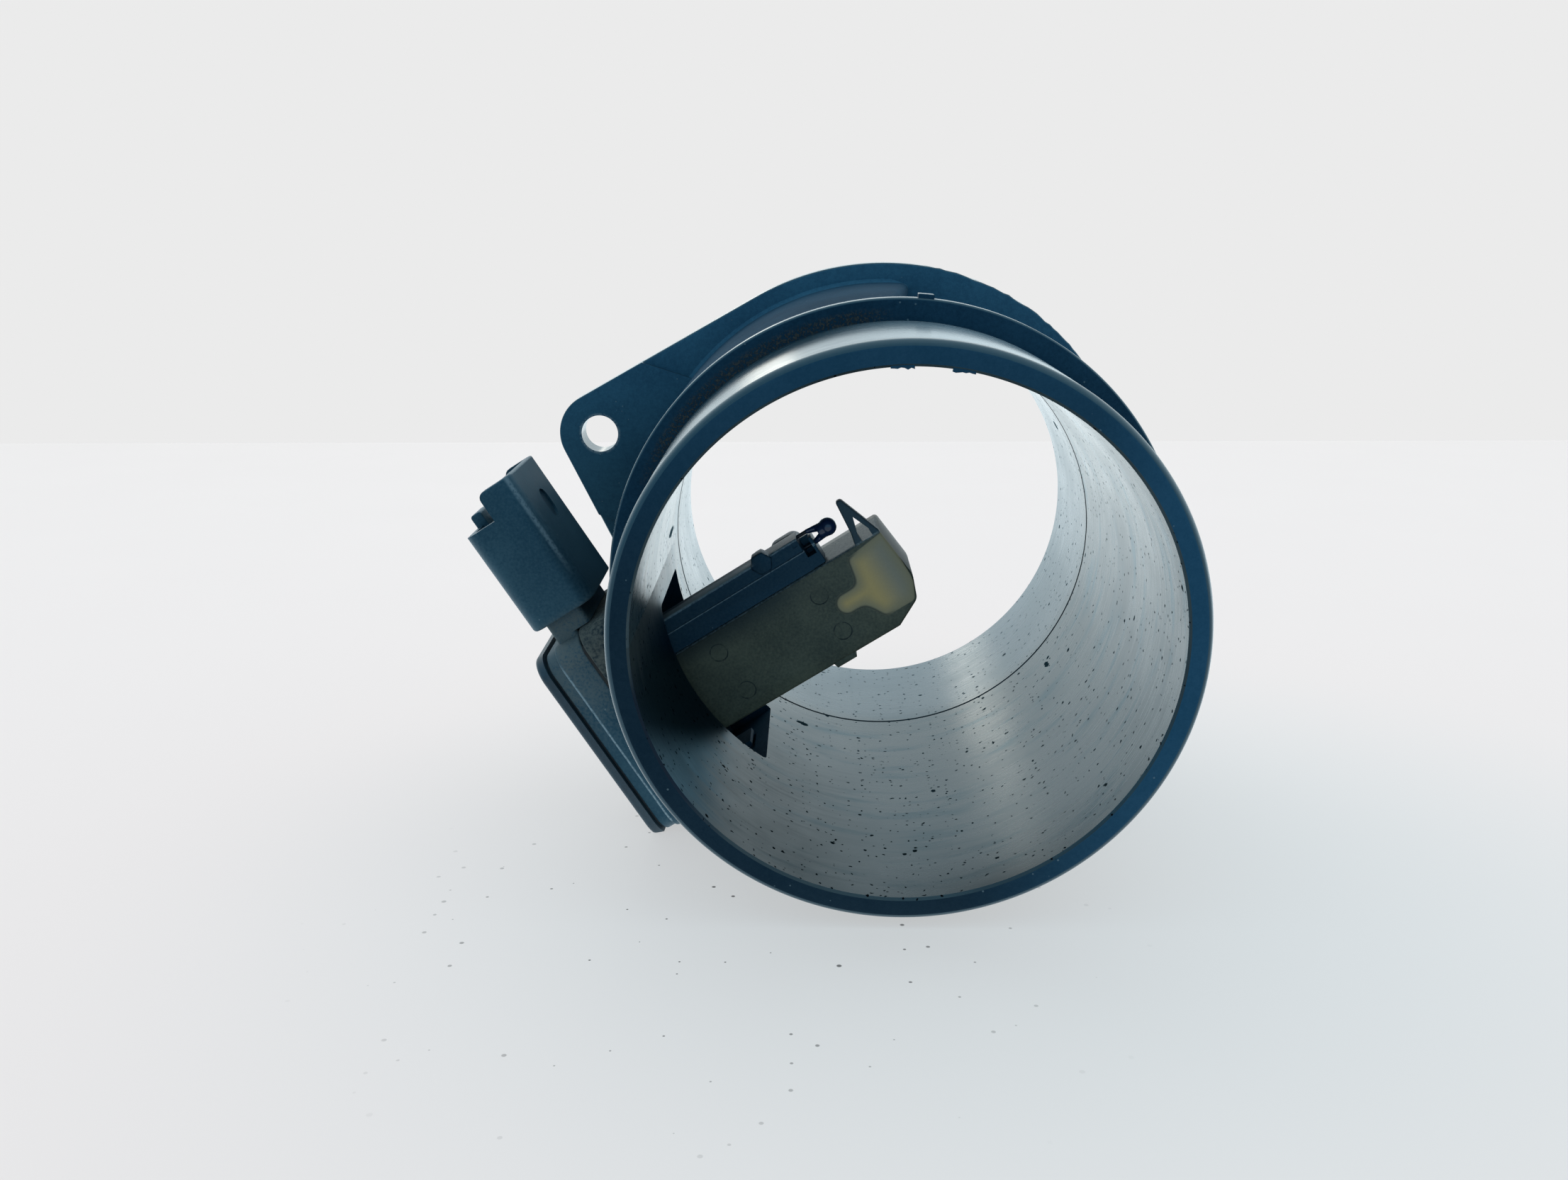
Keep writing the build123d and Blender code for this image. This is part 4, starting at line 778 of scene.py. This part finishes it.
# Air temperature sensor: a bead of dark glassy coating, dipped over the ends of two stiff wires,
# so that it runs out in a tail along each wire. The wires lie in the rail and keep their CAD form.
BEAD_ALONG, BEAD_OVER, BEAD_OUT, DROP_R = 11.0, -5.0, 4.9, 1.5
drop = bmesh.new()
bmesh.ops.create_uvsphere(drop, u_segments=48, v_segments=32, radius=DROP_R,
                          matrix=Matrix.Translation((BEAD_ALONG, BEAD_OVER, BEAD_OUT)))
bead = solid(drop, "temperature_drop", module)
stem = bmesh.new()
bmesh.ops.create_cone(stem, cap_ends=True, segments=32, radius1=1.45, radius2=1.2, depth=1.7)
tails = [solid(stem, "stem", module @ Matrix.Translation((10.95, BEAD_OVER, 5.75)))]
for side in (-1, 1):
    tail = bmesh.new()
    bmesh.ops.create_cone(tail, cap_ends=True, segments=32, radius1=0.72, radius2=0.34, depth=2.5)
    lean = Matrix.Translation((10.96 + side * 0.90, BEAD_OVER, 7.15)) @ Matrix.Rotation(
        side * 0.23, 4, "Y")
    tails.append(solid(tail, "tail", module @ lean))
carve(bead, "UNION", *tails)
remesh = bead.modifiers.new("flow", "REMESH")
remesh.mode, remesh.voxel_size = "VOXEL", 0.09
relax = bead.modifiers.new("relax", "SMOOTH")
relax.iterations, relax.factor = 14, 0.5
settle(bead)
bead_coating, point = surface("bead_coating")
flow = point.noise(0.7, 3, 0.5)
finish(bead_coating, flow.blend((0.004, 0.016, 0.060), (0.010, 0.034, 0.108)), 0.14 + flow * 0.1,
       flow, 0.00004, IOR=1.55, Coat_Weight=0.4)
dress(bead, bead_coating, "bead_coating", "temperature_bead", angle=80)
keep_form("lead_wire", (0.010, 0.013, 0.022), (0.024, 0.028, 0.036), rough=0.35, scale=4.0,
          metal=0.4, nodes=["temperature_lead_upper", "temperature_lead_lower"])

# Electronics: a metal plate on the tray's floor carries the green circuit board, with the signal
# chip and three small capacitors soldered on it. All keep their CAD form.
keep_form("plate_metal", (0.48, 0.49, 0.50), (0.58, 0.59, 0.60), rough=0.38, scale=0.8,
          metal=1.0, nodes=["base_plate"])
keep_form("board", (0.012, 0.055, 0.030), (0.020, 0.080, 0.042), rough=0.45, scale=1.0,
          nodes=["circuit_board"])
keep_form("chip_body", (0.008, 0.008, 0.009), (0.016, 0.016, 0.017), rough=0.5, scale=2.0,
          nodes=["signal_chip"])
keep_form("capacitor_body", (0.28, 0.19, 0.11), (0.36, 0.25, 0.15), rough=0.4, scale=2.0,
          nodes=[f"capacitor_{number}" for number in range(1, 4)])

# Lid: a flat cap of the same dark plastic as the body, pressed into a bead of adhesive in the
# tray's rim, which seals the electronics. Both keep their CAD form.
keep_form("adhesive", (0.014, 0.022, 0.028), (0.026, 0.036, 0.042), rough=0.4, scale=1.2,
          nodes=["lid_adhesive"])
keep_form("lid_plastic", (0.009, 0.028, 0.044), (0.018, 0.050, 0.072), rough=0.52, scale=1.8,
          nodes=["module_lid"])

# World: a white studio that is bright behind and above the part, and dim blue behind the camera.
# The camera itself sees an even pale wall.
world = bpy.data.worlds.new("studio")
bpy.context.scene.world = world
world.use_nodes = True
world.node_tree.nodes.clear()
way = world.node_tree.nodes.new("ShaderNodeTexCoord")
side, back, up = Value(world.node_tree, way.outputs["Generated"]).parts()
behind = up.rise(0.35, 0.85).blend((1.36, 1.52, 1.56), (0.76, 0.94, 1.02))
sky = (back * 0.8 + up * 0.45 + side * 0.2).rise(-0.45, 0.55).blend((0.24, 0.48, 0.66), behind)
seen = Value(world.node_tree, world.node_tree.nodes.new("ShaderNodeLightPath").outputs[0])
background = world.node_tree.nodes.new("ShaderNodeBackground")
world.node_tree.links.new(seen.blend(sky, (0.831, 0.831, 0.831)).socket, background.inputs[0])
world.node_tree.links.new(background.outputs[0],
                          world.node_tree.nodes.new("ShaderNodeOutputWorld").inputs[0])

# Table: a pale board that lies under the stop bead, the flange and the lid's lower corner.
# The part was put down on these three, so the board slopes a little from the bore's axis.
FALL, TABLE_MIDDLE, TABLE_AT_MOUTH, TABLE_HALF = 0.065, -430, -41.4, (1600, 1000, 1)
table = bmesh.new()
bmesh.ops.create_grid(table, x_segments=1, y_segments=1, size=1)
bmesh.ops.scale(table, vec=TABLE_HALF, verts=table.verts)
middle = (0, TABLE_MIDDLE, TABLE_AT_MOUTH - FALL * (TABLE_MIDDLE - HOSE_END))
floor = solid(table, "table", Matrix.Translation(middle)
              @ Matrix.Rotation(-math.atan(FALL), 4, "X"))
floor.data.transform(Matrix.Scale(0.001, 4))
board, point = surface("table_board")
x, y, _ = point.parts()
fine = point.noise(0.02, 3, 0.5)
crumbs = (1 - (x + 25).reach(y + 78).rise(15, 65)) * point.specks(0.33, 0.11, 0.09, True) * 0.8
colour = fine.blend((0.258, 0.262, 0.264), (0.266, 0.270, 0.272))
colour = crumbs.blend(colour, (0.02, 0.02, 0.02))

# The board glows. Where the camera sees it, it is pale, with painted shade round the part that
# fades out within 150 mm. For the part's mirrored light, it is bright behind the part and dim
# before it.
distance = (x - 20).reach(y + 60)
far_shown = distance.rise(150, 900).blend((0.609, 0.552, 0.533), (0.585, 0.527, 0.503))
shown = distance.rise(30, 150).blend((0.508, 0.512, 0.510), far_shown)
shown = crumbs.blend(shown, (0.0, 0.0, 0.0))
beyond = x.rise(-400, 400).blend((0.95, 1.05, 1.08), (1.87, 2.02, 2.05))
thrown = y.rise(-150, 50).blend((0.22, 0.24, 0.26), beyond)
seen = Value(board.node_tree, board.node_tree.nodes.new("ShaderNodeLightPath").outputs[0])
finish(board, colour, fine * 0.1 + 0.6, Emission_Color=seen.blend(thrown, shown),
       Emission_Strength=1.0, Specular_IOR_Level=0.1)
floor.data.materials.append(board)

# Lamp: a small warm disc high behind the part, aimed at it. It lays the highlight along the bore.
# The camera doesn't see it.
LAMP_PLACE = Vector((-0.27, 1.15, 0.30))
lamp = bpy.data.lights.new("lamp", "AREA")
lamp.shape, lamp.size, lamp.energy, lamp.color = "DISK", 0.16, 0.25, (1.0, 0.93, 0.80)
holder = bpy.data.objects.new("lamp", lamp)
bpy.context.collection.objects.link(holder)
holder.visible_camera = False
holder.matrix_world = Matrix.Translation(LAMP_PLACE) @ (
    LAMP_PLACE.to_track_quat("Z", "Y").to_matrix().to_4x4())

# Camera: a phone's wide lens, close to the hose end and a little above the bore's axis.
EYE, LOOK, RIGHT = (-0.0129, -0.2417, 0.0554), (-0.019, 0.9605, -0.278), (1.0, 0.0178, -0.005)
lens = bpy.data.cameras.new("camera")
lens.lens, lens.sensor_width, lens.clip_start = 30.27, 36.0, 0.01
camera = bpy.data.objects.new("camera", lens)
bpy.context.collection.objects.link(camera)
look, right = Vector(LOOK).normalized(), Vector(RIGHT)
right = (right - look * right.dot(look)).normalized()
camera.matrix_world = Matrix.Translation(EYE) @ Matrix(
    (right, right.cross(look), -look)).transposed().to_4x4()
bpy.context.scene.camera = camera
bpy.context.scene.view_settings.view_transform = "Standard"
